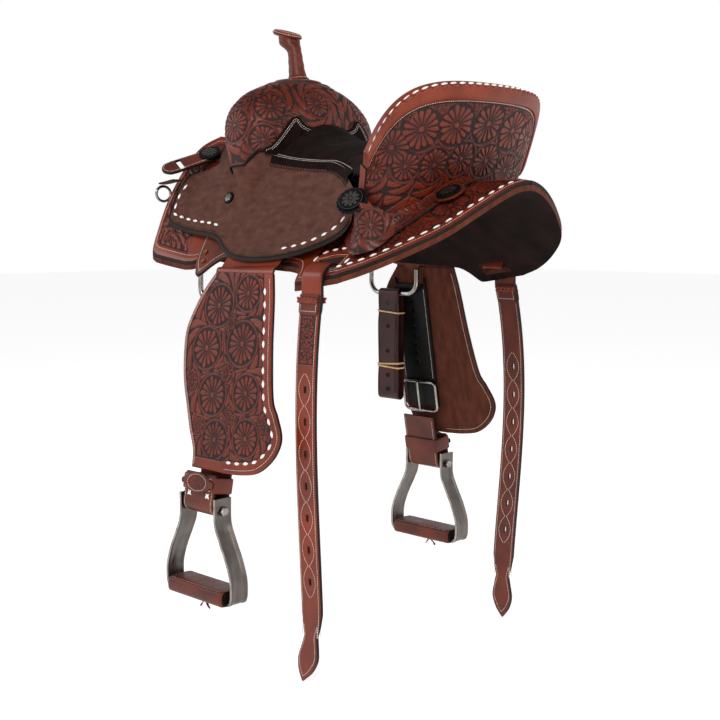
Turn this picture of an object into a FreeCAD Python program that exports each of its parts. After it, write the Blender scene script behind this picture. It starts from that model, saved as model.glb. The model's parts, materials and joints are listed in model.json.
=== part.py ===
"""A barrel-racing western saddle, built as a tree, leathers, rigging, fenders and stirrups.

Frame, in millimetres: +X towards the horse's head, +Y towards the near (left) side, +Z up.
The origin is where the saddle bears on its stand: on the centreline, at the middle of the bars.
"""
import FreeCAD, Part
import math
import os

import Sketcher
from FreeCAD import Placement, Rotation, Vector

DOC = FreeCAD.newDocument("western_saddle")
SHEET = DOC.addObject("Spreadsheet::Sheet", "Dimensions")
X_AXIS = Vector(1, 0, 0)
Y_AXIS = Vector(0, 1, 0)
Z_AXIS = Vector(0, 0, 1)
PARTS = {}

# ---------------------------------------------------------------- driving dimensions

DIMENSIONS = [
    ("ridge_height", 62, "skirt ridge over the origin, at the middle and rear"),
    ("front_rise", 158, "rise of the ridge from the middle to the front"),
    ("spread", 1.05, "fall of the skirt per unit of side distance, at the middle"),
    ("skirt_thickness", 6, "upright thickness of a skirt"),
    ("lining_thickness", 9.5, "upright thickness of the wool and suede lining"),
    ("plate_thickness", 5.5, "upright thickness of a rigging plate"),
    ("leather_lift", 12.5, "upright distance from skirt to upper stirrup leather"),
    ("jockey_lift", 22, "upright distance from skirt to the seat jockey's edge"),
    ("jockey_thickness", 6, "upright thickness of a seat jockey"),
    ("jockey_swell", 62, "how much higher the jockey stands at the seat"),
    ("bar_thickness", 21, "upright thickness of a tree bar"),
    ("seat_edge", 111.5, "half width of the seat cover at the waist"),
    ("cover_thickness", 3, "suede seat cover"),
    ("pad_thickness", 12, "foam seat pad"),
    ("ground_thickness", 5, "ground seat"),
    ("cantle_height", 202, "top of the cantle over the origin"),
    ("cantle_width", 366, "width of the cantle at its ends"),
    ("board_thickness", 14, "cantle board"),
    ("back_thickness", 3, "cantle back leather"),
    ("roll_width", 22, "height of the cantle roll band"),
    ("swell_width", 286, "width of the swell"),
    ("swell_height", 243.5, "top of the swell over the origin"),
    ("swell_leather", 3.5, "leather on the fork"),
    ("horn_height", 68, "length of the horn's neck"),
    ("horn_neck_radius", 11, "wrapped radius under the cap"),
    ("horn_base_radius", 14.5, "wrapped radius at the swell"),
    ("horn_post_radius", 7, "steel post inside the wrap"),
    ("horn_cap_length", 57, "length of the horn cap"),
    ("horn_cap_width", 43, "width of the horn cap"),
    ("horn_cap_thickness", 10, "thickness of the horn cap"),
    ("horn_tilt", 17, "rise of the cap towards the front, degrees"),
    ("fender_tilt", 10, "outward lean of a hanging fender, degrees"),
    ("fender_thickness", 5, "fender"),
    ("fender_side", 209, "distance of the fender's bend from the centre plane"),
    ("fender_bend_x", 25, "place of the fender's bend along the saddle"),
    ("fender_bend_z", -66, "height of the fender's bend"),
    ("neck_radius", 26, "rounded lower end of the fender's neck"),
    ("swing_x", 52, "place of the fender's swing axis along the saddle"),
    ("strap_width", 74, "stirrup strap, three inches"),
    ("strap_thickness", 5.5, "stirrup strap"),
    ("strap_x", 62, "middle of the stirrup strap along the saddle"),
    ("fold_radius", 16.5, "outside of the leather fold round the stirrup bolt"),
    ("fold_thickness", 4.5, "leather of the fold"),
    ("fold_drop", 364, "fold's centre below the bend, along the fender"),
    ("bolt_radius", 5, "stirrup bolt"),
    ("stirrup_width", 165, "outside width of a stirrup"),
    ("stirrup_depth", 32, "width of the stirrup's flat bar"),
    ("stirrup_bar", 5, "thickness of the stirrup's flat bar"),
    ("tread_depth", 52, "stirrup tread, front to back of the foot"),
    ("tread_thickness", 17, "stirrup tread"),
    ("billet_width", 41, "flank billet"),
    ("billet_thickness", 6, "flank billet"),
    ("billet_length", 584, "flank billet below its keeper"),
    ("billet_hinge_gap", 3.5, "gap over a billet's bend, where it turns"),
    ("billet_side", 225, "distance of a billet from the centre plane"),
    ("billet_x", -142, "place of a billet along the saddle"),
    ("billet_top", -92, "height where a billet bends over its keeper"),
    ("left_billet_sway", 15, "how far the near billet bows forward"),
    ("right_billet_sway", -22, "how far the off billet bows back"),
    ("left_billet_kick", 24, "how far the near billet's tip stands forward"),
    ("right_billet_kick", -4, "how far the off billet's tip stands back"),
    ("hole_pitch", 47.5, "distance between billet holes"),
    ("hole_count", 7, "holes in a billet"),
    ("bow_radius", 4.2, "steel wire of the rigging bow"),
    ("bow_span", 112, "distance between the bow's legs"),
    ("bow_side", 199, "distance of the bow from the centre plane"),
    ("bow_drop", 122, "bottom of the bow below the origin"),
    ("off_billet_width", 50, "folded off billet"),
    ("off_billet_length", 186, "folded off billet below the bow"),
    ("concho_radius", 19, "large concho"),
    ("rosette_radius", 24, "leather rosette under a concho"),
    ("dee_radius", 3, "wire of the breast collar dee"),
]


def fill_sheet():
    for row, (alias, value, note) in enumerate(DIMENSIONS, start=1):
        SHEET.set(f"A{row}", alias)
        SHEET.set(f"B{row}", str(value))
        SHEET.set(f"C{row}", note)
        SHEET.setAlias(f"B{row}", alias)
    DOC.recompute()


def size(alias):
    return float(SHEET.get(alias))


def bind(item, path, expression):
    """Bind one property to the sheet: words that are aliases are read from it."""
    aliases = sorted((row[0] for row in DIMENSIONS), key=len, reverse=True)
    words = expression.split(" ")
    item.setExpression(path, " ".join(f"Dimensions.{w}" if w in aliases else w for w in words))


def keep(item, label):
    """Mark a document object as a finished sub-part, exported under its label."""
    item.Label = label
    PARTS[label] = item
    return item


# ---------------------------------------------------------------- shape of the saddle's back


def smooth(t):
    t = min(1.0, max(0.0, t))
    return t * t * (3 - 2 * t)


def back_height(x, y):
    """Top of the horse-side of the skirts, before any lift: a ridge that falls to both sides."""
    ridge = size("ridge_height") + size("front_rise") * max(0.0, (x + 150) / 440) ** 2
    fall = size("spread") + 0.0020 * x + 3.3e-6 * x * x
    return ridge - fall * (math.hypot(y, 60) - 60)


def seat_edge(x):
    """Side distance of the line where the seat cover meets the jockey."""
    return size("seat_edge") + 0.0485 * max(0.0, -61 - x) ** 1.5


def jockey_edge(x):
    """Side distance where the jockey has come down onto the leathers under it."""
    return 198 - 0.00047 * (x - 10) ** 2


def jockey_height(x, y):
    swell = 4 + (size("jockey_swell") - 4) * smooth((255 - x) / 120)
    inner = seat_edge(x)
    t = min(1.0, max(0.0, (y - inner) / (jockey_edge(x) - inner)))
    return back_height(x, y) + size("jockey_lift") + swell * (1 - t) ** 1.5


def grid_face(name, rows):
    """A smooth face through a grid of points, kept in the document as a base for other shapes."""
    surface = Part.BSplineSurface()
    surface.interpolate(rows)
    item = DOC.addObject("Part::Feature", name)
    item.Shape = surface.toShape()
    return item


def height_face(name, height, lift, x_range, y_range, nx=17, ny=13):
    rows = []
    for i in range(nx):
        x = x_range[0] + (x_range[1] - x_range[0]) * i / (nx - 1)
        ys = [y_range[0] + (y_range[1] - y_range[0]) * j / (ny - 1) for j in range(ny)]
        rows.append([Vector(x, y, height(x, y) + lift) for y in ys])
    return grid_face(name, rows)


def prism(name, base, direction, length):
    item = DOC.addObject("Part::Extrusion", name)
    item.Base = base
    item.DirMode = "Custom"
    item.Dir = direction
    item.Solid = True
    if isinstance(length, str):
        bind(item, "LengthFwd", length)
    else:
        item.LengthFwd = length
    return item


def boolean(kind, name, base, tool):
    item = DOC.addObject(f"Part::{kind}", name)
    item.Base = base
    item.Tool = tool
    return item


def mirrored(source, label):
    item = DOC.addObject("Part::Mirroring", label)
    item.Source = source
    item.Normal = Y_AXIS
    return keep(item, label)


def joined(name, shapes):
    item = DOC.addObject("Part::Compound", name)
    item.Links = shapes
    return item


def both_sides(label, left):
    """One sub-part of two equal solids, near and off side."""
    off = DOC.addObject("Part::Mirroring", f"{label}_off")
    off.Source = left
    off.Normal = Y_AXIS
    return keep(joined(label, [left, off]), label)


def draw(sketch, strokes):
    """Draw a closed outline: a stroke of two points is a line, a longer one a smooth curve."""
    for stroke in strokes:
        points = [Vector(x, y, 0) for x, y in stroke]
        if len(points) == 2:
            sketch.addGeometry(Part.LineSegment(points[0], points[1]), False)
        else:
            curve = Part.BSplineCurve()
            curve.interpolate(points)
            sketch.addGeometry(curve, False)


def outline(name, strokes, height=-400):
    sketch = DOC.addObject("Sketcher::SketchObject", name)
    sketch.Placement = Placement(Vector(0, 0, height), Rotation())
    draw(sketch, strokes)
    return sketch


def cut_sheet(name, height, lift, thickness, strokes, x_range, y_range):
    """Leather of the given outline, seen from above, lying on a curved surface."""
    face = height_face(f"{name}_face", height, lift, x_range, y_range)
    slab = prism(f"{name}_slab", face, Z_AXIS, thickness)
    stamp = prism(f"{name}_stamp", outline(f"{name}_outline", strokes), Z_AXIS, 900)
    return boolean("Common", name, slab, stamp)


def edges_of(surface):
    """The four border curves of a surface, in one fixed order."""
    u0, u1, v0, v1 = surface.bounds()
    borders = [surface.uIso(u0), surface.uIso(u1), surface.vIso(v0), surface.vIso(v1)]
    return [border.toShape() for border in borders]


def grid_slab(name, inner, outer):
    """A closed solid between two grids of points with the same boundary layout."""
    faces = []
    surfaces = []
    for rows in (inner, outer):
        surface = Part.BSplineSurface()
        surface.interpolate(rows)
        surfaces.append(surface)
        faces.append(surface.toShape())
    for near, far in zip(edges_of(surfaces[0]), edges_of(surfaces[1])):
        faces.append(Part.makeRuledSurface(near, far))
    shell = Part.makeShell(faces)
    shell.sewShape()
    solid = Part.makeSolid(shell)
    if solid.Volume < 0:
        solid.reverse()
    item = DOC.addObject("Part::Feature", name)
    item.Shape = solid
    item.Placement = Placement()
    return item


# ---------------------------------------------------------------- bodies of flat pieces


def plane_of(body, role):
    for feature in body.Origin.OriginFeatures:
        if feature.Role == role:
            return feature
    raise ValueError(role)


def new_body(name):
    return DOC.addObject("PartDesign::Body", name)


def sketch_on(body, name, role="XY_Plane"):
    sketch = body.newObject("Sketcher::SketchObject", name)
    sketch.AttachmentSupport = [(plane_of(body, role), "")]
    sketch.MapMode = "FlatFace"
    return sketch


def padded(body, name, sketch, length, midplane=True):
    pad = body.newObject("PartDesign::Pad", name)
    pad.Profile = sketch
    pad.Midplane = midplane
    bind(pad, "Length", length)
    body.Tip = pad
    return pad


def flat_piece(name, strokes, thickness, holes=()):
    """A flat piece cut from one outline, with closed hole outlines inside it."""
    body = new_body(name)
    sketch = sketch_on(body, f"{name}_sketch")
    draw(sketch, strokes)
    for hole in holes:
        draw(sketch, hole)
    padded(body, f"{name}_pad", sketch, thickness)
    return body


def slot_hole(cx, cy, length, width):
    """An upright slot with rounded ends, as two lines and two five-point curves."""
    r = width / 2
    half = length / 2 - r
    top = [(cx + r * math.cos(a), cy + half + r * math.sin(a))
           for a in (math.pi * k / 4 for k in range(5))]
    bottom = [(cx + r * math.cos(a), cy - half + r * math.sin(a))
              for a in (math.pi + math.pi * k / 4 for k in range(5))]
    return [top, [top[-1], bottom[0]], bottom, [bottom[-1], top[0]]]


def arc_points(cx, cy, radius, start, end, count=7):
    angles = [math.radians(start + (end - start) * k / (count - 1)) for k in range(count)]
    return [(cx + radius * math.cos(a), cy + radius * math.sin(a)) for a in angles]


def box(name, low, high):
    item = DOC.addObject("Part::Box", name)
    item.Length = high[0] - low[0]
    item.Width = high[1] - low[1]
    item.Height = high[2] - low[2]
    item.Placement = Placement(Vector(*low), Rotation())
    return item


# ---------------------------------------------------------------- skirts and lining

SKIRT_OUTLINE = [
    [(262, 62), (290, 88), (304, 120), (307, 150), (300, 178)],
    [(300, 178), (294, 188), (280, 191)],
    [(280, 191), (200, 191)],
    [(200, 191), (178, 188), (160, 180), (135, 175)],
    [(135, 175), (20, 178), (-50, 183)],
    [(-50, 183), (-72, 188), (-84, 198), (-92, 212)],
    [(-92, 212), (-97, 218), (-108, 219)],
    [(-108, 219), (-185, 218)],
    [(-185, 218), (-225, 206), (-270, 180), (-315, 140), (-338, 95), (-352, 50), (-359, 1)],
    [(-359, 1), (-290, 1)],
    [(-290, 1), (-230, 10), (-150, 22), (60, 24), (180, 36), (262, 62)],
]
SLOT_X = -142
SLOT_Y = 196


def skirts():
    wide = ((-380, 330), (-6, 240))
    sheet = cut_sheet("skirt_blank", back_height, 0, "skirt_thickness", SKIRT_OUTLINE, *wide)
    slot = box("billet_slot", (SLOT_X - 26, SLOT_Y - 12, -300), (SLOT_X + 26, SLOT_Y + 10, 100))
    left = keep(boolean("Cut", "skirt_left", sheet, slot), "skirt_left")
    mirrored(left, "skirt_right")
    lining_lift = -size("lining_thickness") - 0.3
    lining = cut_sheet("lining_blank", back_height, lining_lift, "lining_thickness",
                       SKIRT_OUTLINE, *wide)
    left = keep(boolean("Cut", "skirt_lining_left", lining, slot), "skirt_lining_left")
    mirrored(left, "skirt_lining_right")


# ---------------------------------------------------------------- tree

BAR_OUTLINE = [
    [(-178, 60), (-192, 80), (-178, 104)],
    [(-178, 104), (-120, 108), (0, 109), (150, 109), (215, 104)],
    [(215, 104), (226, 88), (216, 70)],
    [(216, 70), (150, 62), (40, 46), (-60, 44), (-178, 60)],
]


def tree_bars():
    lift = size("skirt_thickness") + 0.4
    bar = cut_sheet("tree_bar_left", back_height, lift, "bar_thickness", BAR_OUTLINE,
                    (-240, 250), (30, 120))
    keep(bar, "tree_bar_left")
    mirrored(bar, "tree_bar_right")


SWELL_SECTIONS = [
    # height, centre along the saddle, half depth, half width as a share of the swell's
    (30, 104, 30, 0.930),
    (55, 106, 40, 0.960),
    (80, 110, 50, 0.985),
    (109, 117, 58, 0.998),
    (137, 122, 63, 1.0),
    (165.5, 125, 65, 0.985),
    (194, 127, 62, 0.910),
    (217, 129, 54, 0.740),
    (234, 130, 42, 0.490),
    (243.5, 130, 28, 0.270),
]


def blunt_oval(name, half_x, half_y, power):
    """A closed curve between an ellipse (power 2) and a rectangle, drawn about its centre."""
    points = []
    for k in range(28):
        angle = 2 * math.pi * k / 28
        c, s = math.cos(angle), math.sin(angle)
        points.append(Vector(half_x * math.copysign(abs(c) ** (2 / power), c),
                             half_y * math.copysign(abs(s) ** (2 / power), s), 0))
    curve = Part.BSplineCurve()
    curve.interpolate(points, PeriodicFlag=True)
    sketch = DOC.addObject("Sketcher::SketchObject", name)
    sketch.addGeometry(curve, False)
    return sketch


def swell_loft(name, extra):
    """A solid of stacked oval sections; extra grows every section outwards."""
    ovals = []
    half = size("swell_width") / 2
    for k, (height, centre, depth, width) in enumerate(SWELL_SECTIONS):
        power = 2.7 if height < 200 else 2.3
        oval = blunt_oval(f"{name}_oval_{k}", depth + extra, width * half + extra, power)
        lift = extra if k == len(SWELL_SECTIONS) - 1 else 0
        oval.Placement = Placement(Vector(centre, 0, height + lift), Rotation())
        ovals.append(oval)
    loft = DOC.addObject("Part::Loft", name)
    loft.Sections = ovals
    loft.Solid = True
    return loft


def under_fork():
    """Everything the fork must clear: the jockeys outside, the bars inside, and the withers."""
    above_jockey = height_face("above_jockey", jockey_height, size("jockey_thickness") + 0.5,
                               (0, 250), (112.2, 235))
    outer = prism("outer_clear", above_jockey, Vector(0, 0, -1), 250)
    bar_top = size("skirt_thickness") + size("bar_thickness") + 0.8
    above_bar = height_face("above_bar", back_height, bar_top, (0, 250), (-6, 112.3))
    inner = prism("inner_clear", above_bar, Vector(0, 0, -1), 250)
    sides = []
    for zone in (outer, inner):
        off = DOC.addObject("Part::Mirroring", f"{zone.Name}_off")
        off.Source = zone
        off.Normal = Y_AXIS
        sides += [zone, off]
    arch = DOC.addObject("Part::Ellipse", "gullet_arch")
    arch.MajorRadius = 88
    arch.MinorRadius = 62
    arch.Placement = Placement(Vector(0, 0, 78), Rotation(Y_AXIS, 90))
    tunnel = DOC.addObject("Part::Extrusion", "gullet_tunnel")
    tunnel.Base = arch
    tunnel.DirMode = "Custom"
    tunnel.Dir = X_AXIS
    tunnel.Solid = True
    tunnel.LengthFwd = 260
    clear = DOC.addObject("Part::MultiFuse", "under_fork")
    clear.Shapes = sides + [tunnel]
    return clear


def fork():
    clear = under_fork()
    leather = size("swell_leather")
    core = swell_loft("fork_core", 0)
    keep(boolean("Cut", "fork", core, clear), "fork")
    outer = swell_loft("cover_outer", leather)
    inner = swell_loft("cover_inner", 0.2)
    shell = boolean("Cut", "cover_shell", outer, inner)
    keep(boolean("Cut", "swell_cover", shell, clear), "swell_cover")
    return swell_loft("swell_clearance", leather + 0.4)


# ---------------------------------------------------------------- horn

HORN_X = 131
HORN_LEAN = 9


def horn():
    base = Placement(Vector(HORN_X, 0, size("swell_height") + 5.9), Rotation(Y_AXIS, HORN_LEAN))
    post = DOC.addObject("Part::Cylinder", "horn_post")
    bind(post, "Radius", "horn_post_radius")
    bind(post, "Height", "horn_height - 4")
    post.Placement = base
    keep(post, "horn_post")
    cone = DOC.addObject("Part::Cone", "wrap_cone")
    bind(cone, "Radius1", "horn_base_radius")
    bind(cone, "Radius2", "horn_neck_radius")
    bind(cone, "Height", "horn_height - 8")
    cone.Placement = base
    bore = DOC.addObject("Part::Cylinder", "wrap_bore")
    bind(bore, "Radius", "horn_post_radius + 0.1")
    bore.Height = 120
    bore.Placement = Placement(base.multVec(Vector(0, 0, -5)), base.Rotation)
    keep(boolean("Cut", "horn_wrap", cone, bore), "horn_wrap")
    cap = new_body("horn_cap_body")
    sketch = sketch_on(cap, "horn_cap_sketch")
    half = size("horn_cap_length") / 2
    side = size("horn_cap_width") / 2
    sketch.addGeometry(Part.Ellipse(Vector(half, 0, 0), Vector(0, side, 0), Vector(0, 0, 0)), False)
    pad = padded(cap, "horn_cap_pad", sketch, "horn_cap_thickness", midplane=False)
    DOC.recompute()
    rounded = cap.newObject("PartDesign::Fillet", "horn_cap_fillet")
    rounded.Base = (pad, [f"Edge{k + 1}" for k, e in enumerate(pad.Shape.Edges)
                          if e.Length > 50])
    rounded.Radius = 3.5
    cap.Tip = rounded
    top = base.multVec(Vector(0, 0, size("horn_height") + 4))
    tilt = Rotation(Y_AXIS, -size("horn_tilt"))
    cap.Placement = Placement(top + Vector(16, 0, 2), tilt)
    keep(cap, "horn_cap")


# ---------------------------------------------------------------- seat


def seat_point(u, v):
    """The seat's top: u from the fork (0) to the cantle's rim (1), v across, -1 to 1."""
    side_x = 107 - 297 * u
    side_y = seat_edge(side_x)
    side_z = back_height(side_x, side_y) + size("jockey_lift") + size("jockey_swell") + 8
    mid_x = 100 - 410 * u
    front_rise = 38 * (max(0.0, mid_x + 40) / 100) ** 2
    dish_z = 141 - 8 * smooth((-40 - mid_x) / 110)
    rear_rise = (size("cantle_height") - 133) * (max(0.0, -150 - mid_x) / 160) ** 2
    mid_z = dish_z + front_rise + rear_rise
    w = smooth((u - 0.35) / 0.65)
    phi = abs(v) * math.pi / 2
    dish = 1 - math.cos(phi)
    y = side_y * ((1 - w) * v + w * math.copysign(math.sin(phi), v))
    x = mid_x + (side_x - mid_x) * ((1 - w) * v * v + w * dish)
    z = mid_z + (side_z - mid_z) * ((1 - w) * v * v + w * dish ** 2.3)
    return Vector(x, y, z), w, v


def seat_layer(u_range, v_limit, depth, nu=25, nv=25):
    """A grid of points a given depth under the seat's top."""
    rows = []
    for i in range(nu):
        u = u_range[0] + (u_range[1] - u_range[0]) * i / (nu - 1)
        row = []
        for j in range(nv):
            v = -v_limit + 2 * v_limit * j / (nv - 1)
            point, w, _ = seat_point(u, v)
            inward = Vector(-0.5 * w, -0.6 * w * v, -1).normalize()
            row.append(point + inward * depth)
        rows.append(row)
    return rows


def seat(swell_clear, cantle_clear):
    cover = size("cover_thickness")
    pad = size("pad_thickness")
    ground = size("ground_thickness")
    layers = [
        ("seat_cover", 0.0, cover, (0.0, 0.955), 1.0),
        ("seat_pad", cover + 0.3, cover + 0.3 + pad, (0.02, 0.93), 0.94),
        ("ground_seat", cover + pad + 0.6, cover + pad + 0.6 + ground, (0.03, 0.88), 0.88),
    ]
    for label, top, bottom, reach, v_limit in layers:
        blank = grid_slab(f"{label}_blank", seat_layer(reach, v_limit, bottom),
                          seat_layer(reach, v_limit, top))
        front = boolean("Cut", f"{label}_front", blank, swell_clear)
        keep(boolean("Cut", label, front, cantle_clear), label)


# ---------------------------------------------------------------- cantle


def rim_point(phi):
    fade = 1 - math.cos(phi)
    end_x = -190
    end_y = size("cantle_width") / 2
    end_z = back_height(end_x, seat_edge(end_x)) + size("jockey_lift") + size("jockey_swell") + 8
    top_x = -310
    x = top_x + (end_x - top_x) * fade
    z = size("cantle_height") + (end_z - size("cantle_height")) * fade ** 2.3
    return Vector(x, end_y * math.sin(phi), z)


CANTLE_END_RISE = 90


def base_point(phi):
    fade = 1 - math.cos(phi)
    y = 166 * math.sin(phi)
    x = -236 + 60 * fade
    return Vector(x, y, back_height(x, abs(y)) + size("skirt_thickness") + 3 + CANTLE_END_RISE * fade ** 2)


def cantle_point(phi, t, depth):
    """A point of the cantle's back: t from base to rim, depth forward into the cantle."""
    foot = base_point(phi)
    rim = rim_point(phi)
    point = foot + (rim - foot) * t
    forward = Vector(0.84, -0.35 * math.sin(phi), 0.45).normalize()
    return point + forward * depth


def cantle_grid(t_range, depth, reach, nphi=25, nt=7):
    rows = []
    for i in range(nphi):
        phi = math.radians(-reach + 2 * reach * i / (nphi - 1))
        height = (rim_point(phi) - base_point(phi)).Length
        low = t_range[0] if t_range[0] <= 0 else 1 - t_range[0] / height
        high = 1 + t_range[1] / height
        rows.append([cantle_point(phi, low + (high - low) * k / (nt - 1), depth)
                     for k in range(nt)])
    return rows


CLEAR_REACH = 84


def cantle():
    leather = size("back_thickness")
    board = size("board_thickness")
    band = size("roll_width")
    keep(grid_slab("cantle_back", cantle_grid((0, -band - 0.4), 0, 80),
                   cantle_grid((0, -band - 0.4), leather, 80)), "cantle_back")
    keep(grid_slab("cantle_board", cantle_grid((0, -band - 1.1), leather + 0.3, 80),
                   cantle_grid((0, -band - 1.1), leather + 0.3 + board, 80)), "cantle_board")
    keep(grid_slab("cantle_roll", cantle_grid((band, 0), -4, 80),
                   cantle_grid((band, 0), leather + board, 80)), "cantle_roll")
    return grid_slab("cantle_clearance", cantle_grid((0, 14), -9, CLEAR_REACH),
                     cantle_grid((0, 14), leather + board + 0.8, CLEAR_REACH))


# ---------------------------------------------------------------- jockeys

JOCKEY_OUTLINE = [
    [(250, 118), (268, 126), (279, 142), (277, 160)],
    [(277, 160), (273, 169), (262, 172)],
    [(262, 172), (210, 173), (168, 174), (140, 176), (120, 181), (104, 187), (70, 194),
     (20, 197), (-30, 196), (-70, 192), (-105, 186), (-140, 179), (-165, 174)],
    [(-165, 174), (-171, 172.5), (-168, 167.5)],
    [(-168, 167.5), (-155, 157.2), (-130, 140.6), (-107, 127.8), (-80, 117), (-58, 112.8)],
    [(-58, 112.8), (190, 112.8)],
    [(190, 112.8), (250, 118)],
]


def jockeys():
    left = cut_sheet("seat_jockey_left", jockey_height, 0, "jockey_thickness", JOCKEY_OUTLINE,
                     (-200, 300), (100, 215))
    keep(left, "seat_jockey_left")
    mirrored(left, "seat_jockey_right")


# ---------------------------------------------------------------- rigging

PLATE_OUTLINE = [
    [(176, 114), (178, 160), (170, 190), (158, 203)],
    [(158, 203), (148, 206), (138, 202), (122, 190), (104, 183), (84, 185), (70, 194)],
    [(70, 194), (58, 201), (44, 203.5), (32, 198), (22, 186), (12, 114)],
    [(12, 114), (176, 114)],
]
BOW_CENTRE_X = 93


def rigging():
    plate_lift = size("skirt_thickness") + 0.5
    plate = cut_sheet("rigging_plate_left", back_height, plate_lift, "plate_thickness",
                      PLATE_OUTLINE, (-20, 210), (100, 225))
    keep(plate, "rigging_plate_left")
    mirrored(plate, "rigging_plate_right")
    leather_lift = size("leather_lift")
    strip = [[(-10, 114), (88, 114)], [(88, 114), (88, 183)], [(88, 183), (-10, 183)],
             [(-10, 183), (-10, 114)]]
    upper = cut_sheet("stirrup_leather_upper_left", back_height, leather_lift, "plate_thickness",
                      strip, (-40, 120), (100, 210))
    keep(upper, "stirrup_leather_upper_left")
    mirrored(upper, "stirrup_leather_upper_right")
    rivets = rigging_rivets()
    both_sides("rigging_rivets", rivets)
    bow = rigging_bow("rigging_bow_left", 1)
    keep(bow, "rigging_bow_left")
    keep(rigging_bow("rigging_bow_right", -1), "rigging_bow_right")


def rigging_rivets():
    """Copper rivets through the plate's two tabs; their heads stand on its face."""
    heads = []
    for k, (x, y) in enumerate([(156, 182), (150, 192), (47, 189), (46, 198)]):
        head = DOC.addObject("Part::Cylinder", f"rivet_{k}")
        head.Radius = 4
        head.Height = 1.4
        z = back_height(x, y) + size("skirt_thickness") + 0.5 + size("plate_thickness")
        slope = math.degrees(math.atan(1.3))
        out = Rotation(X_AXIS, -slope)
        seat_of_head = Vector(x, y, z) + out.multVec(Vector(0, 0, 0.9))
        head.Placement = Placement(seat_of_head, out)
        heads.append(head)
    return joined("rivet_heads", heads)


def rigging_bow(name, side):
    """A U of steel wire: two legs up into the plate's tabs, joined by a round bottom."""
    body = new_body(f"{name}_body")
    path = sketch_on(body, f"{name}_path", "XZ_Plane")
    half = size("bow_span") / 2
    bottom = -size("bow_drop") + size("bow_radius")
    bend = 22
    flat = half - bend
    spring = bottom + bend
    turn = bend * math.sqrt(0.5)
    path.addGeometry(Part.LineSegment(Vector(-half, -74, 0), Vector(-half, spring, 0)), False)
    path.addGeometry(Part.Arc(Vector(-half, spring, 0), Vector(-flat - turn, spring - turn, 0),
                              Vector(-flat, bottom, 0)), False)
    path.addGeometry(Part.LineSegment(Vector(-flat, bottom, 0), Vector(flat, bottom, 0)), False)
    path.addGeometry(Part.Arc(Vector(flat, bottom, 0), Vector(flat + turn, spring - turn, 0),
                              Vector(half, spring, 0)), False)
    path.addGeometry(Part.LineSegment(Vector(half, spring, 0), Vector(half, -66, 0)), False)
    profile = body.newObject("Sketcher::SketchObject", f"{name}_wire")
    profile.AttachmentSupport = [(plane_of(body, "XY_Plane"), "")]
    profile.MapMode = "FlatFace"
    profile.AttachmentOffset = Placement(Vector(0, 0, -74), Rotation())
    profile.addGeometry(Part.Circle(Vector(-half, 0, 0), Z_AXIS, size("bow_radius")), False)
    pipe = body.newObject("PartDesign::AdditivePipe", f"{name}_pipe")
    pipe.Profile = profile
    pipe.Spine = path
    body.Tip = pipe
    body.Placement = Placement(Vector(BOW_CENTRE_X, side * size("bow_side"), 0), Rotation())
    return body


# ---------------------------------------------------------------- fender side


def fender_frame(side, along=0.0, down=0.0, out=0.0):
    """Placement in a fender's own plane: local x forward, y up the fender, z its thickness."""
    tilt = math.radians(size("fender_tilt"))
    outward = Vector(0, side * math.cos(tilt), math.sin(tilt))
    upward = Vector(0, -side * math.sin(tilt), math.cos(tilt))
    bend = Vector(size("fender_bend_x"), side * size("fender_side"), size("fender_bend_z"))
    base = bend + X_AXIS * along - upward * down + outward * out
    return Placement(base, Rotation(X_AXIS, 90 + side * size("fender_tilt")))


FENDER_FRONT = [(68, -3), (94, -34), (115, -70), (126, -100), (125, -136), (117, -178),
                (102, -217), (87, -254), (72, -285), (69, -312)]
FENDER_REAR = [(-10, -312), (-50, -309), (-85, -301), (-112, -281), (-126, -258), (-126, -238),
               (-112, -212), (-98, -188), (-84, -118), (-74, -44), (-66, -3)]


NECK_GAP = 0.9
NECK_TAPER = 4


def fenders(side, word):
    radius = size("neck_radius")
    middle = size("swing_x") - size("fender_bend_x")
    notch = arc_points(middle, -3, radius + NECK_GAP, 180, 360, 9)
    strokes = [
        [notch[-1], FENDER_FRONT[0]],
        FENDER_FRONT,
        [FENDER_FRONT[-1], FENDER_REAR[0]],
        FENDER_REAR,
        [FENDER_REAR[-1], notch[0]],
        notch,
    ]
    fender = flat_piece(f"fender_{word}_body", strokes, "fender_thickness")
    fender.Placement = fender_frame(side)
    keep(fender, f"fender_{word}")
    neck_arc = arc_points(middle, -3, radius, 180, 360, 9)
    top = [(middle + radius - NECK_TAPER, 6), (middle - radius + NECK_TAPER, 6)]
    neck_strokes = [neck_arc, [neck_arc[-1], top[0]], top, [top[1], neck_arc[0]]]
    neck = flat_piece(f"neck_{word}_body", neck_strokes, "fender_thickness")
    neck.Placement = fender_frame(side)
    keep(neck, f"fender_neck_{word}")


def rectangle(x0, y0, x1, y1):
    return [[(x0, y0), (x1, y0)], [(x1, y0), (x1, y1)], [(x1, y1), (x0, y1)], [(x0, y1), (x0, y0)]]


STRAP_OUT = -6.0
BUCKLE_OUT = -12.6
STRAP_TOP = -48
STRAP_END = -262
BUCKLE_MIDDLE = -243
BUCKLE_LONG = 84
BUCKLE_TALL = 60


def stirrup_strap(side, word):
    """The black strap on the fender's horse side, with its row of adjusting holes."""
    half = size("strap_width") / 2
    holes = [slot_hole(0, -66 - 16 * k, 6, 4) for k in range(8)]
    strap = flat_piece(f"strap_{word}_body", rectangle(-half, STRAP_END, half, STRAP_TOP),
                       "strap_thickness", holes)
    along = size("strap_x") - size("fender_bend_x")
    strap.Placement = fender_frame(side, along=along, out=STRAP_OUT)
    keep(strap, f"stirrup_strap_{word}")


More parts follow.
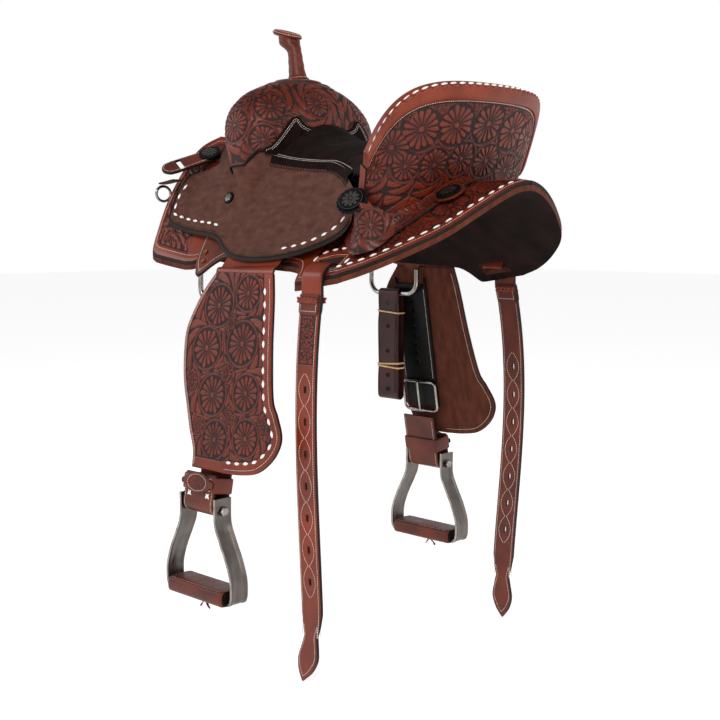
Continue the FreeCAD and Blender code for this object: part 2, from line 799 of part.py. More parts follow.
def roller_buckle(side, word):
    """A steel ring with a roller on its upper bar."""
    along = size("strap_x") - size("fender_bend_x")
    half = BUCKLE_LONG / 2
    tall = BUCKLE_TALL / 2
    outer = rectangle(-half, -tall, half, tall)
    inner = rectangle(-half + 5, -tall + 5, half - 5, tall - 5)
    frame = flat_piece(f"buckle_{word}_body", outer, "strap_thickness - 0.5", [inner])
    frame.Placement = fender_frame(side, along=along, down=-BUCKLE_MIDDLE, out=BUCKLE_OUT)
    keep(frame, f"roller_buckle_{word}")
    tongue = new_body(f"tongue_{word}_body")
    sketch = sketch_on(tongue, f"tongue_{word}_sketch")
    draw(sketch, rectangle(-2.6, -1.2, 2.6, BUCKLE_TALL - 6))
    padded(tongue, f"tongue_{word}_pad", sketch, "strap_thickness - 2")
    tongue.Placement = fender_frame(side, along=along, down=-BUCKLE_MIDDLE + tall - 2.5,
                                    out=BUCKLE_OUT - 4.9)
    keep(tongue, f"buckle_tongue_{word}")


def stirrup_fold(side, word):
    """The leather end: down the horse side, round the bolt, and up the outside."""
    body = new_body(f"fold_{word}_body")
    sketch = sketch_on(body, f"fold_{word}_sketch", "YZ_Plane")
    outer = size("fold_radius")
    inner = outer - size("fold_thickness")
    drop = size("fold_drop")
    middle = 3.2 + size("fold_thickness") - outer
    inner_top = -278
    outer_top = -318
    bends = []
    for radius in (outer, inner):
        bends.append([Vector(-drop + radius * math.cos(a), middle + radius * math.sin(a), 0)
                      for a in (math.radians(90), math.radians(180), math.radians(270))])

    def point(up, out):
        return Vector(up, out, 0)

    sketch.addGeometry(Part.Arc(*bends[0]), False)
    sketch.addGeometry(Part.Arc(*bends[1]), False)
    for out_a, out_b, up in ((middle + outer, middle + inner, outer_top),
                             (middle - outer, middle - inner, inner_top)):
        sketch.addGeometry(Part.LineSegment(point(-drop, out_a), point(up, out_a)), False)
        sketch.addGeometry(Part.LineSegment(point(up, out_a), point(up, out_b)), False)
        sketch.addGeometry(Part.LineSegment(point(up, out_b), point(-drop, out_b)), False)
    padded(body, f"fold_{word}_pad", sketch, "strap_width - 2")
    along = size("strap_x") - size("fender_bend_x")
    body.Placement = fender_frame(side, along=along)
    if side > 0:
        half_turn = Placement(Vector(), Rotation(Y_AXIS, 180))
        body.Placement = body.Placement.multiply(half_turn)
    keep(body, f"stirrup_fold_{word}")


HOBBLE_TOP = -321
HOBBLE_BOTTOM = -345


def hobble_strap(side, word):
    """The narrow strap buckled round the fold under the fender."""
    half = size("strap_width") / 2
    outer_side = 3.2 + size("fold_thickness")
    inner_side = outer_side - 2 * size("fold_radius")
    reach = 3.0
    gap = 0.4
    shell = rectangle(-half - gap - reach, inner_side - gap - reach,
                      half + gap + reach, outer_side + gap + reach)
    hollow = rectangle(-half - gap, inner_side - gap, half + gap, outer_side + gap)
    if side > 0:
        shell = [[(x, -y) for x, y in stroke] for stroke in shell]
        hollow = [[(x, -y) for x, y in stroke] for stroke in hollow]
    body = new_body(f"hobble_{word}_body")
    sketch = sketch_on(body, f"hobble_{word}_sketch", "XZ_Plane")
    draw(sketch, shell)
    draw(sketch, hollow)
    pad = body.newObject("PartDesign::Pad", f"hobble_{word}_pad")
    pad.Profile = sketch
    pad.Midplane = True
    pad.Length = HOBBLE_TOP - HOBBLE_BOTTOM
    body.Tip = pad
    along = size("strap_x") - size("fender_bend_x")
    down = -(HOBBLE_TOP + HOBBLE_BOTTOM) / 2
    body.Placement = fender_frame(side, along=along, down=down)
    keep(body, f"hobble_strap_{word}")


def bolt_point(side):
    """The stirrup bolt lies in the bottom of the fold."""
    middle = 3.2 + size("fold_thickness") - size("fold_radius")
    slack = size("fold_radius") - size("fold_thickness") - size("bolt_radius") - 0.4
    frame = fender_frame(side, along=size("strap_x") - size("fender_bend_x"),
                         down=size("fold_drop") + slack * 0.98, out=middle)
    return frame.Base


STIRRUP_HALF = [(0.545, 20), (0.55, -18), (0.67, -42), (0.86, -72), (0.985, -100), (1.0, -122)]


def stirrup_line(inset, bottom):
    """One closed stirrup outline about its bolt; inset moves it inwards."""
    half = size("stirrup_width") / 2
    right = [(share * half - inset, z) for share, z in STIRRUP_HALF]
    floor = bottom + inset
    corner = [right[-1], (right[-1][0] - 1.5, floor + 8), (right[-1][0] - 10, floor)]
    left = [(-x, z) for x, z in reversed(right)]
    left_corner = [(-x, z) for x, z in reversed(corner)]
    return right, corner, left_corner, left


def stirrups(side, word):
    bar = size("stirrup_bar")
    bottom = -142
    body = new_body(f"stirrup_{word}_body")
    sketch = sketch_on(body, f"stirrup_{word}_sketch", "XZ_Plane")
    loops = [stirrup_line(0, bottom), stirrup_line(bar, bottom)]
    for right, corner, left_corner, left in loops:
        draw(sketch, [right, corner, [corner[-1], left_corner[0]], left_corner, left])
    for k in (0, -1):
        source = 0 if k == 0 else 3
        draw(sketch, [[loops[0][source][k], loops[1][source][k]]])
    padded(body, f"stirrup_{word}_pad", sketch, "stirrup_depth")
    DOC.recompute()
    holes = sketch_on(body, f"stirrup_{word}_hole_sketch", "YZ_Plane")
    holes.addGeometry(Part.Circle(Vector(0, 0, 0), Z_AXIS, size("bolt_radius") + 0.05), False)
    pocket = body.newObject("PartDesign::Pocket", f"stirrup_{word}_holes")
    pocket.Profile = holes
    pocket.Midplane = True
    pocket.Length = 300
    body.Tip = pocket
    place = Placement(bolt_point(side), Rotation())
    body.Placement = place
    keep(body, f"stirrup_frame_{word}")
    bolt = DOC.addObject("Part::Cylinder", f"bolt_{word}")
    bind(bolt, "Radius", "bolt_radius")
    bind(bolt, "Height", "stirrup_width / 2 + 12")
    length = size("stirrup_width") / 2 + 12
    bolt.Placement = Placement(bolt_point(side) - X_AXIS * (length / 2), Rotation(Y_AXIS, 90))
    keep(bolt, f"stirrup_bolt_{word}")
    tread = DOC.addObject("Part::Box", f"tread_block_{word}")
    bind(tread, "Length", "stirrup_width - 32")
    bind(tread, "Width", "tread_depth")
    bind(tread, "Height", "tread_thickness")
    low = bolt_point(side) + Vector(-(size("stirrup_width") - 32) / 2,
                                    -size("tread_depth") / 2, bottom + bar + 1.2)
    tread.Placement = Placement(low, Rotation())
    rounded = DOC.addObject("Part::Chamfer", f"tread_{word}")
    rounded.Base = tread
    rounded.Edges = [(2, 4.0, 4.0), (6, 4.0, 4.0)]
    keep(rounded, f"stirrup_tread_{word}")


# ---------------------------------------------------------------- flank billets


def billet_strokes(word):
    """A billet's outline; its middle bows and its tip kicks forward or back as a strap hangs."""
    half = size("billet_width") / 2
    length = size("billet_length")
    waist = length - 74

    def at(across, down):
        return (across + billet_bow(down, word), -down)

    upper = [0, 60, 120, 180, 240, 310, 380, 430, waist - 36]
    narrowing = [(1, waist - 36), (0.84, waist - 18), (0.62, waist)]
    leaf = [(0.62, waist), (0.80, waist + 17), (0.96, waist + 37), (0.66, waist + 57), (0, length)]
    rear = [at(half, down) for down in upper]
    rear_waist = [at(half * share, down) for share, down in narrowing]
    rear_leaf = [at(half * share, down) for share, down in leaf]
    front = [at(-half, down) for down in reversed(upper)]
    front_waist = [at(-half * share, down) for share, down in reversed(narrowing)]
    front_leaf = [at(-half * share, down) for share, down in reversed(leaf)]
    return [rear, rear_waist, rear_leaf, front_leaf, front_waist, front, [front[-1], rear[0]]]


def billet_bow(down, word):
    """How far forward a billet's middle lies, a given distance below its bend."""
    share = down / size("billet_length")
    tip = max(0, (share - 0.78) / 0.22)
    return (size(f"{word}_billet_sway") * 6.75 * share * (1 - share) ** 2
            + size(f"{word}_billet_kick") * tip ** 2)


def billets():
    pitch = size("hole_pitch")
    for side, word in ((1, "left"), (-1, "right")):
        holes = [slot_hole(billet_bow(142 + pitch * k, word), -142 - pitch * k, 11, 5)
                 for k in range(int(size("hole_count")))]
        body = flat_piece(f"billet_{word}_body", billet_strokes(word), "billet_thickness", holes)
        place = Vector(size("billet_x"), side * size("billet_side"), size("billet_top"))
        body.Placement = Placement(place, Rotation(X_AXIS, 90))
        keep(body, f"billet_{word}")


def billet_straps():
    """The billet's fixed upper end: out through the skirt's slot and over its lower edge."""
    half = size("billet_width") / 2
    x0 = size("billet_x") - half
    body = new_body("billet_strap_body")
    sketch = sketch_on(body, "billet_strap_sketch", "YZ_Plane")
    out = size("billet_side")
    thick = size("billet_thickness") / 2
    low = size("billet_top") + size("billet_hinge_gap")
    line = [(SLOT_Y - 6, -72), (SLOT_Y + 2, -52), (SLOT_Y + 14, -54), (out - 2.5, -64), (out, low)]
    shift = [(-thick, 1), (-1, thick), (thick * 0.9, thick * 0.9), (thick, 0.8), (thick, 0)]
    upper = [(y + a, z + b) for (y, z), (a, b) in zip(line, shift)]
    lower = [(y - a, z - b) for (y, z), (a, b) in zip(line, shift)]
    draw(sketch, [upper, [upper[-1], lower[-1]], lower[::-1], [lower[0], upper[0]]])
    padded(body, "billet_strap_pad", sketch, "billet_width", midplane=False)
    body.Placement = Placement(Vector(x0, 0, 0), Rotation())
    both_sides("billet_straps", body)


# ---------------------------------------------------------------- off billet


def off_billet():
    """The folded strap on the off-side bow, held by rubber bands."""
    width = size("off_billet_width")
    length = size("off_billet_length")
    radius = size("bow_radius") + 1.0
    thick = 3.6
    body = new_body("off_billet_body")
    sketch = sketch_on(body, "off_billet_sketch", "YZ_Plane")
    centre = -size("bow_drop") + size("bow_radius")
    outer = radius + thick

    def arc(r, z0, a0, a1):
        mid = math.radians((a0 + a1) / 2)
        ends = [math.radians(a) for a in (a0, a1)]
        points = [Vector(r * math.cos(a), z0 + r * math.sin(a), 0) for a in (ends[0], mid, ends[1])]
        sketch.addGeometry(Part.Arc(*points), False)

    low = centre - length
    arc(outer, centre, 0, 180)
    arc(radius, centre, 0, 180)
    arc(outer, low, 180, 360)
    arc(radius, low, 180, 360)
    for x in (-outer, -radius, radius, outer):
        sketch.addGeometry(Part.LineSegment(Vector(x, centre, 0), Vector(x, low, 0)), False)
    padded(body, "off_billet_pad", sketch, "off_billet_width")
    body.Placement = Placement(Vector(BOW_CENTRE_X + 6, -size("bow_side"), 0), Rotation())
    keep(body, "off_billet")
    bands = []
    half = width / 2 + 0.4
    side = outer + 0.4
    for k, z in enumerate((-153, -248, -254)):
        shell = box(f"band_outer_{k}", (-half - 1.5, -side - 1.5, z), (half + 1.5, side + 1.5, z + 2.5))
        core = box(f"band_inner_{k}", (-half, -side, z - 2), (half, side, z + 6))
        ring = boolean("Cut", f"band_{k}", shell, core)
        ring.Placement = Placement(Vector(BOW_CENTRE_X + 6, -size("bow_side"), 0), Rotation())
        bands.append(ring)
    keep(joined("rubber_bands", bands), "rubber_bands")


# ---------------------------------------------------------------- conchos, keeper and dees


def facing(point, normal):
    return Placement(point, Rotation(Z_AXIS, normal))


def disc(name, radius, thickness, point, normal, lift=0.0):
    item = DOC.addObject("Part::Cylinder", name)
    if isinstance(radius, str):
        bind(item, "Radius", radius)
    else:
        item.Radius = radius
    item.Height = thickness
    unit = Vector(normal).normalize()
    item.Placement = facing(point + unit * lift, normal)
    return item


def surface_normal(height, x, y):
    step = 2.0
    dx = (height(x + step, y) - height(x - step, y)) / (2 * step)
    dy = (height(x, y + step) - height(x, y - step)) / (2 * step)
    return Vector(-dx, -dy, 1).normalize()


def jockey_tip_concho():
    x, y = -160, 160
    normal = surface_normal(jockey_height, x, y)
    return Vector(x, y, jockey_height(x, y) + size("jockey_thickness") + 6.5), normal


def skirt_concho():
    x, y = -283, 88
    normal = surface_normal(back_height, x, y)
    return Vector(x, y, back_height(x, y) + size("skirt_thickness") + 2), normal


def conchos():
    rosettes = []
    domes = []
    for k, (point, normal) in enumerate((jockey_tip_concho(), skirt_concho())):
        rosettes.append(disc(f"rosette_{k}", "rosette_radius", 3, point, normal))
        domes.append(disc(f"concho_{k}", "concho_radius", 4, point, normal, 3.2))
    both_sides("concho_rosettes", joined("rosettes", rosettes))
    both_sides("conchos", joined("domes", domes))
    x, y = 139, 146
    normal = surface_normal(jockey_height, x, y)
    base = Vector(x, y, jockey_height(x, y) + size("jockey_thickness") + 0.5)
    both_sides("seat_screw_conchos", disc("screw_concho", 10, 3.5, base, normal, 0.3))


KEEPER_START = Vector(255, 92, 123)
KEEPER_END = Vector(284, 152, 100)


def latigo_keeper():
    """A slotted leather tab under a concho, reaching out over the near-side jockey."""
    run = KEEPER_END - KEEPER_START
    length = run.Length
    body = new_body("keeper_body")
    sketch = sketch_on(body, "keeper_sketch")
    half = 19
    oval = [(length - 4, -half), (length + 12, -half * 0.6), (length + 17, 0),
            (length + 12, half * 0.6), (length - 4, half)]
    round_end = [(-2, half * 0.9), (-10, half * 0.5), (-13, 0), (-10, -half * 0.5),
                 (-2, -half * 0.9)]
    draw(sketch, [oval, [oval[-1], round_end[0]], round_end, [round_end[-1], oval[0]]])
    slot = [[(y, x) for x, y in stroke] for stroke in slot_hole(0, length - 16, 42, 9)]
    draw(sketch, slot)
    pad = body.newObject("PartDesign::Pad", "keeper_pad")
    pad.Profile = sketch
    pad.Length = 5
    body.Tip = pad
    forward = Vector(run).normalize()
    across = forward.cross(Vector(-0.45, 0.35, 1)).normalize()
    normal = across.cross(forward) * -1
    if normal.z < 0:
        normal = normal * -1
        across = across * -1
    body.Placement = Placement(KEEPER_START, Rotation(forward, normal.cross(forward), normal, "ZXY"))
    keep(body, "latigo_keeper")
    lift = 5.3
    concho = disc("keeper_concho_disc", "concho_radius", 4, KEEPER_START, normal, lift)
    keep(concho, "keeper_concho")


DEE_HINGE = Vector(312, 150, 72)
DEE_RING = 13


def breast_dees():
    """A leather clip on each side at the front, and the steel dee hanging from its end."""
    clip = box("clip_box", (-40, -10, 0), (2, 10, 3))
    above_wire = size("dee_radius") + 0.2
    clip.Placement = Placement(DEE_HINGE + Vector(0, 0, above_wire), Rotation(Y_AXIS, -8))
    both_sides("dee_clips", clip)
    for side, word in ((1, "left"), (-1, "right")):
        ring = DOC.addObject("Part::Torus", f"dee_{word}")
        ring.Radius1 = DEE_RING
        bind(ring, "Radius2", "dee_radius - 0.5")
        centre = Vector(DEE_HINGE.x, side * DEE_HINGE.y, DEE_HINGE.z - DEE_RING)
        ring.Placement = Placement(centre, Rotation(Y_AXIS, 90))
        keep(ring, f"breast_dee_{word}")


def skirt_lacing():
    """The leather lace that ties the two skirts together at the rear ridge."""
    z = size("ridge_height") + size("skirt_thickness") + 0.2
    cross = box("skirt_lacing", (-352, -16, z), (-268, 16, z + 2.6))
    keep(cross, "skirt_lacing")


# ---------------------------------------------------------------- assembly and export


def check_document():
    for item in DOC.Objects:
        bad = [word for word in item.State if word in ("Invalid", "Error")]
        if bad:
            raise RuntimeError(f"{item.Name} is {bad}")
    for label, item in PARTS.items():
        shape = item.Shape
        if shape.isNull() or not shape.isValid():
            raise RuntimeError(f"{label} has no valid shape")
        if not shape.Solids:
            raise RuntimeError(f"{label} is not a solid")


def build():
    fill_sheet()
    skirts()
    tree_bars()
    swell_clear = fork()
    horn()
    cantle_clear = cantle()
    seat(swell_clear, cantle_clear)
    jockeys()
    rigging()
    for side, word in ((1, "left"), (-1, "right")):
        fenders(side, word)
        stirrup_strap(side, word)
        roller_buckle(side, word)
        stirrup_fold(side, word)
        hobble_strap(side, word)
        stirrups(side, word)
    billets()
    billet_straps()
    off_billet()
    conchos()
    latigo_keeper()
    breast_dees()
    skirt_lacing()
    DOC.recompute()


def export():
    os.makedirs("parts", exist_ok=True)
    for label, item in PARTS.items():
        shape = item.Shape
        box_ = shape.BoundBox
        print(f"{label:32s} {shape.Volume / 1000:9.1f} cm3  solids {len(shape.Solids)}  "
              f"x {box_.XMin:.0f}..{box_.XMax:.0f} y {box_.YMin:.0f}..{box_.YMax:.0f} "
              f"z {box_.ZMin:.0f}..{box_.ZMax:.0f}")
        shape.exportStep(f"parts/{label}.step")


build()
check_document()
export()
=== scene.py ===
"""A barrel-racing western saddle: its leathers, stitching and fittings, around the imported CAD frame.

Shapes are worked out in millimetres in the frame's own axes (+X to the horse's head, +Y to the
near side, +Z up) and become metres when a mesh is made.  The near side is built and mirrored.
"""

import json
import math

import bpy
import numpy as np
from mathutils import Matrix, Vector
from mathutils.geometry import delaunay_2d_cdt

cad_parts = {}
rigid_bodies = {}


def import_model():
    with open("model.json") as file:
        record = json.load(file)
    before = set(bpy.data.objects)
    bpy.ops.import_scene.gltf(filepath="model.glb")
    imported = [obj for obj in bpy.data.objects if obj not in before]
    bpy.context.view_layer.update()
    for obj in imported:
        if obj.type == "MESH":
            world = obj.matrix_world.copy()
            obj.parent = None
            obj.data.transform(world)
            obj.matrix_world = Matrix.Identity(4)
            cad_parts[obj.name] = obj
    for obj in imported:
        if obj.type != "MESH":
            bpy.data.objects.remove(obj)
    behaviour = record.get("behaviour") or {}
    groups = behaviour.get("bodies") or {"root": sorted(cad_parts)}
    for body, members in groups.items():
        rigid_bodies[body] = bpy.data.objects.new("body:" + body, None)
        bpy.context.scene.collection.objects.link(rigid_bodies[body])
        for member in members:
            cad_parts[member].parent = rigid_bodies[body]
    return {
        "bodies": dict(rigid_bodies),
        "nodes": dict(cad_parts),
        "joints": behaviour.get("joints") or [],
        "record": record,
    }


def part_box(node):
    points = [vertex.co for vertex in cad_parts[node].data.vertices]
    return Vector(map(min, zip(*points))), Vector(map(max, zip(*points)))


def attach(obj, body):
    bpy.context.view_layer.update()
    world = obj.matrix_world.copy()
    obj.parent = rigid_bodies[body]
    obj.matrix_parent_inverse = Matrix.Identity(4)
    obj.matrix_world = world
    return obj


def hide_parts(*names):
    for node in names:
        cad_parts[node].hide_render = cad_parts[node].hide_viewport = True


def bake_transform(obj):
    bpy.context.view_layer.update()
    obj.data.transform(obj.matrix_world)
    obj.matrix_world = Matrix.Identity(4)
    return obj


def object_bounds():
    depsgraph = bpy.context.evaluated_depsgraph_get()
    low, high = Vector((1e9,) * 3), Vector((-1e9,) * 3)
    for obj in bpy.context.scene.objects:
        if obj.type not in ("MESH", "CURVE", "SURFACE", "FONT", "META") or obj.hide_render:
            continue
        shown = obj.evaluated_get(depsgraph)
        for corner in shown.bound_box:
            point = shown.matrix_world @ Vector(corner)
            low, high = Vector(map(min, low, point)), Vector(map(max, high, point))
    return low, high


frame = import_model()
cad_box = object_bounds()

MM = 0.001
SIDES = {"left": 1, "right": -1}
FINE = 1.5
COARSE = 7.0
TOOLING_DEPTH = 1.5
DYE_DEPTH = 0.5


# ---------------------------------------------------------------- camera, floor and light


def look_along(item, direction):
    """Turn a camera or light to face along a direction."""
    item.rotation_euler = Vector(direction).to_track_quat("-Z", "Y").to_euler()


def camera():
    """The camera, behind and to the near side, a little above the saddle's middle."""
    data = bpy.data.cameras.new("camera")
    data.lens = 60.25
    data.sensor_width = 36
    item = bpy.data.objects.new("camera", data)
    bpy.context.scene.collection.objects.link(item)
    item.location = (-1.4037, 1.4107, 0.0)
    look_along(item, (0.701, -0.713, -0.1095))
    bpy.context.scene.camera = item


def area_light(name, place, target, size, power):
    """A round soft light at a place, facing a target."""
    data = bpy.data.lights.new(name, "AREA")
    data.shape = "DISK"
    data.size = size
    data.energy = power
    item = bpy.data.objects.new(name, data)
    bpy.context.scene.collection.objects.link(item)
    item.location = place
    look_along(item, Vector(target) - Vector(place))


def map_range(tree, value, source, target):
    """A value taken from one range to another by a node."""
    node = tree.nodes.new("ShaderNodeMapRange")
    for name, number in zip(("From Min", "From Max", "To Min", "To Max"), (*source, *target)):
        node.inputs[name].default_value = number
    tree.links.new(value, node.inputs["Value"])
    return node.outputs["Result"]


def studio():
    """Soft lights and a plain pale floor under a bright surround."""
    scene = bpy.context.scene
    scene.view_settings.view_transform = "Standard"
    world = bpy.data.worlds.new("studio")
    world.use_nodes = True
    back = world.node_tree.nodes["Background"]
    back.inputs["Color"].default_value = (1.0, 1.0, 1.0, 1.0)
    links = world.node_tree.links
    place = world.node_tree.nodes.new("ShaderNodeTexCoord")
    split = world.node_tree.nodes.new("ShaderNodeSeparateXYZ")
    links.new(place.outputs["Generated"], split.inputs["Vector"])
    fade = map_range(world.node_tree, split.outputs["Z"], (0.3, 0.6), (1.0, 0.3))
    links.new(fade, back.inputs["Strength"])
    scene.world = world
    centre = (0.0, 0.0, -0.1)
    area_light("key", (-1.9, 2.3, 2.1), centre, 1.2, 62)
    area_light("side", (-2.6, -0.6, 0.9), centre, 1.0, 18)
    area_light("front", (2.2, 1.8, 1.2), centre, 1.2, 14)
    floor_z = cad_box[0][2] - 0.004
    bpy.ops.mesh.primitive_plane_add(size=30, location=(0, 0, floor_z))
    floor = bpy.context.object
    floor.name = "floor"
    pale = bpy.data.materials.new("pale_floor")
    pale.use_nodes = True
    shader = pale.node_tree.nodes["Principled BSDF"]
    shader.inputs["Base Color"].default_value = (0.97, 0.97, 0.97, 1)
    shader.inputs["Roughness"].default_value = 0.9
    shader.inputs["Specular IOR Level"].default_value = 0.1
    shader.inputs["Emission Color"].default_value = (1.0, 1.0, 1.0, 1)
    shader.inputs["Emission Strength"].default_value = 0.5
    floor.data.materials.append(pale)


# ---------------------------------------------------------------- materials


def srgb(red, green, blue):
    """A display colour from 0 to 255 as linear RGBA."""
    def channel(value):
        value /= 255
        return value / 12.92 if value <= 0.04045 else ((value + 0.055) / 1.055) ** 2.4
    return (channel(red), channel(green), channel(blue), 1.0)


def dye(red, green, blue):
    """A leather's colour as seen in a bright room, brought down to what the hide itself reflects."""
    return tuple(channel * DYE_DEPTH for channel in srgb(red, green, blue)[:3]) + (1.0,)


class Shader:
    """One material's nodes, with short ways to add the ones used here."""

    def __init__(self, name, roughness=0.5, metallic=0.0, specular=0.5):
        self.material = bpy.data.materials.new(name)
        self.material.use_nodes = True
        self.tree = self.material.node_tree
        self.bsdf = self.tree.nodes["Principled BSDF"]
        self.bsdf.inputs["Roughness"].default_value = roughness
        self.bsdf.inputs["Metallic"].default_value = metallic
        self.bsdf.inputs["Specular IOR Level"].default_value = specular
        self.place = self.tree.nodes.new("ShaderNodeTexCoord").outputs["Object"]
        self.normal = None

    def link(self, output, socket):
        self.tree.links.new(output, socket)

    def noise(self, scale, detail=3.0, stretch=(1, 1, 1)):
        mapping = self.tree.nodes.new("ShaderNodeMapping")
        mapping.inputs["Scale"].default_value = stretch
        self.link(self.place, mapping.inputs["Vector"])
        node = self.tree.nodes.new("ShaderNodeTexNoise")
        node.inputs["Scale"].default_value = scale
        node.inputs["Detail"].default_value = detail
        self.link(mapping.outputs["Vector"], node.inputs["Vector"])
        return node.outputs["Fac"]

    def cells(self, scale):
        node = self.tree.nodes.new("ShaderNodeTexVoronoi")
        node.feature = "DISTANCE_TO_EDGE"
        node.inputs["Scale"].default_value = scale
        self.link(self.place, node.inputs["Vector"])
        return node.outputs["Distance"]

    def attribute(self, name):
        node = self.tree.nodes.new("ShaderNodeAttribute")
        node.attribute_name = name
        return node.outputs["Fac"]

    def ramp(self, factor, stops):
        node = self.tree.nodes.new("ShaderNodeValToRGB")
        elements = node.color_ramp.elements
        while len(elements) < len(stops):
            elements.new(0.5)
        for element, (position, colour) in zip(elements, stops):
            element.position = position
            element.color = colour
        self.link(factor, node.inputs["Fac"])
        return node.outputs["Color"]

    def grey(self, factor, low, high, start=0.3, end=0.7):
        """The factor between start and end, as a value from low to high."""
        return map_range(self.tree, factor, (start, end), (low, high))

    def mix(self, factor, first, second, mode="MIX"):
        node = self.tree.nodes.new("ShaderNodeMix")
        node.data_type = "RGBA"
        node.blend_type = mode
        for value, socket in ((factor, node.inputs[0]), (first, node.inputs[6]),
                              (second, node.inputs[7])):
            if isinstance(value, bpy.types.NodeSocket):
                self.link(value, socket)
            else:
                socket.default_value = value
        return node.outputs[2]

    def bump(self, height, strength, distance):
        """Add a bump on top of those already there; distance in millimetres."""
        node = self.tree.nodes.new("ShaderNodeBump")
        node.inputs["Strength"].default_value = strength
        node.inputs["Distance"].default_value = distance * MM
        self.link(height, node.inputs["Height"])
        if self.normal is not None:
            self.link(self.normal, node.inputs["Normal"])
        self.normal = node.outputs["Normal"]

    def finish(self, colour, roughness=None):
        self.link(colour, self.bsdf.inputs["Base Color"])
        if roughness is not None:
            self.link(roughness, self.bsdf.inputs["Roughness"])
        if self.normal is not None:
            self.link(self.normal, self.bsdf.inputs["Normal"])
        return self.material


def tooled_leather():
    """Carved and oiled leather: the background is dark and dull, the raised parts bright."""
    made = Shader("tooled_leather", specular=0.3)
    relief = made.attribute("relief")
    carved = made.ramp(relief, [(0.0, dye(44, 19, 16)), (0.3, dye(72, 27, 18)),
                                (0.7, dye(128, 42, 20)), (1.0, dye(160, 60, 28))])
    patches = made.ramp(made.noise(16, 4), [(0.3, (0.62, 0.6, 0.6, 1)), (0.7, (1.12, 1.08, 1.05, 1))])
    colour = made.mix(1.0, carved, patches, "MULTIPLY")
    made.bump(made.noise(900, 2), 0.25, 0.25)
    made.bump(made.cells(700), 0.12, 0.2)
    return made.finish(colour, made.grey(relief, 0.62, 0.33, 0.1, 0.9))


def grained(name, dark, mid, light, roughness=(0.34, 0.5), grain=0.2, specular=0.28):
    """Smooth-side leather: cloudy dye, fine grain and small creases."""
    made = Shader(name, specular=specular)
    cloud = made.noise(22, 5)
    colour = made.ramp(cloud, [(0.3, dark), (0.5, mid), (0.72, light)])
    flecks = made.ramp(made.noise(420, 3), [(0.36, (0.8, 0.78, 0.76, 1)), (0.55, (1, 1, 1, 1))])
    colour = made.mix(0.8, colour, flecks, "MULTIPLY")
    made.bump(made.cells(620), grain, 0.25)
    made.bump(made.noise(1400, 2), grain, 0.2)
    return made.finish(colour, made.grey(cloud, roughness[0], roughness[1]))


def napped(name, dark, light, sheen, strokes=(1, 1, 1), scale=60):
    """Suede and roughout: a soft nap with brushed patches and fine fibres."""
    made = Shader(name, roughness=0.95, specular=0.04)
    brushed = made.noise(scale, 6, strokes)
    colour = made.ramp(brushed, [(0.3, dark), (0.68, light)])
    fibres = made.ramp(made.noise(1300, 3), [(0.3, (0.72, 0.7, 0.7, 1)), (0.7, (1.15, 1.12, 1.1, 1))])
    colour = made.mix(1.0, colour, fibres, "MULTIPLY")
    made.bsdf.inputs["Sheen Weight"].default_value = sheen
    made.bsdf.inputs["Sheen Roughness"].default_value = 0.5
    made.bump(made.noise(1600, 4), 0.5, 0.4)
    made.bump(made.noise(240, 3), 0.25, 0.5)
    return made.finish(colour)


def layered_edge():
    """Burnished cut edges, where several plies show as fine lines."""
    made = Shader("burnished_edge", roughness=0.5, specular=0.15)
    layers = made.noise(130, 3, (0.3, 0.3, 9))
    colour = made.ramp(layers, [(0.35, dye(18, 15, 15)), (0.6, dye(44, 30, 26)), (0.8, dye(62, 40, 32))])
    made.bump(layers, 0.5, 0.5)
    return made.finish(colour, made.grey(layers, 0.4, 0.65))


def plain_fibre(name, dark, light, scale, roughness):
    """Lace and thread: pale strands with soiled hollows."""
    made = Shader(name, roughness=roughness, specular=0.3)
    colour = made.ramp(made.noise(scale, 3), [(0.3, dark), (0.6, light)])
    made.bump(made.noise(scale * 3, 2), 0.3, 0.15)
    return made.finish(colour)


def metal(name, dark, light, roughness, scale=90, stretch=(1, 1, 1), bump=0.1):
    """Metal with a brushed or tarnished surface."""
    made = Shader(name, metallic=1.0)
    worn = made.noise(scale, 4, stretch)
    colour = made.ramp(worn, [(0.3, dark), (0.7, light)])
    made.bump(worn, bump, 0.1)
    made.bump(made.noise(1500, 2), bump, 0.05)
    return made.finish(colour, made.grey(worn, roughness[0], roughness[1]))


def antique_silver():
    """Cast conchos: black in the hollows, bright where hands have rubbed them."""
    made = Shader("antique_silver", metallic=0.9)
    relief = made.attribute("relief")
    rubbed = made.mix(0.5, relief, made.noise(300, 3), "OVERLAY")
    colour = made.ramp(rubbed, [(0.3, srgb(8, 8, 9)), (0.7, srgb(34, 34, 36)),
                                (1.0, srgb(120, 116, 110))])
    made.bump(made.noise(800, 3), 0.25, 0.15)
    return made.finish(colour, made.grey(relief, 0.55, 0.28))


def wood():
    """Stained timber of the tree, with its grain."""
    made = Shader("tree_wood", roughness=0.6)
    grain = made.noise(45, 5, (0.35, 4, 4))
    colour = made.ramp(grain, [(0.3, dye(58, 34, 22)), (0.7, dye(92, 56, 36))])
    made.bump(grain, 0.3, 0.4)
    return made.finish(colour, made.grey(grain, 0.5, 0.75))


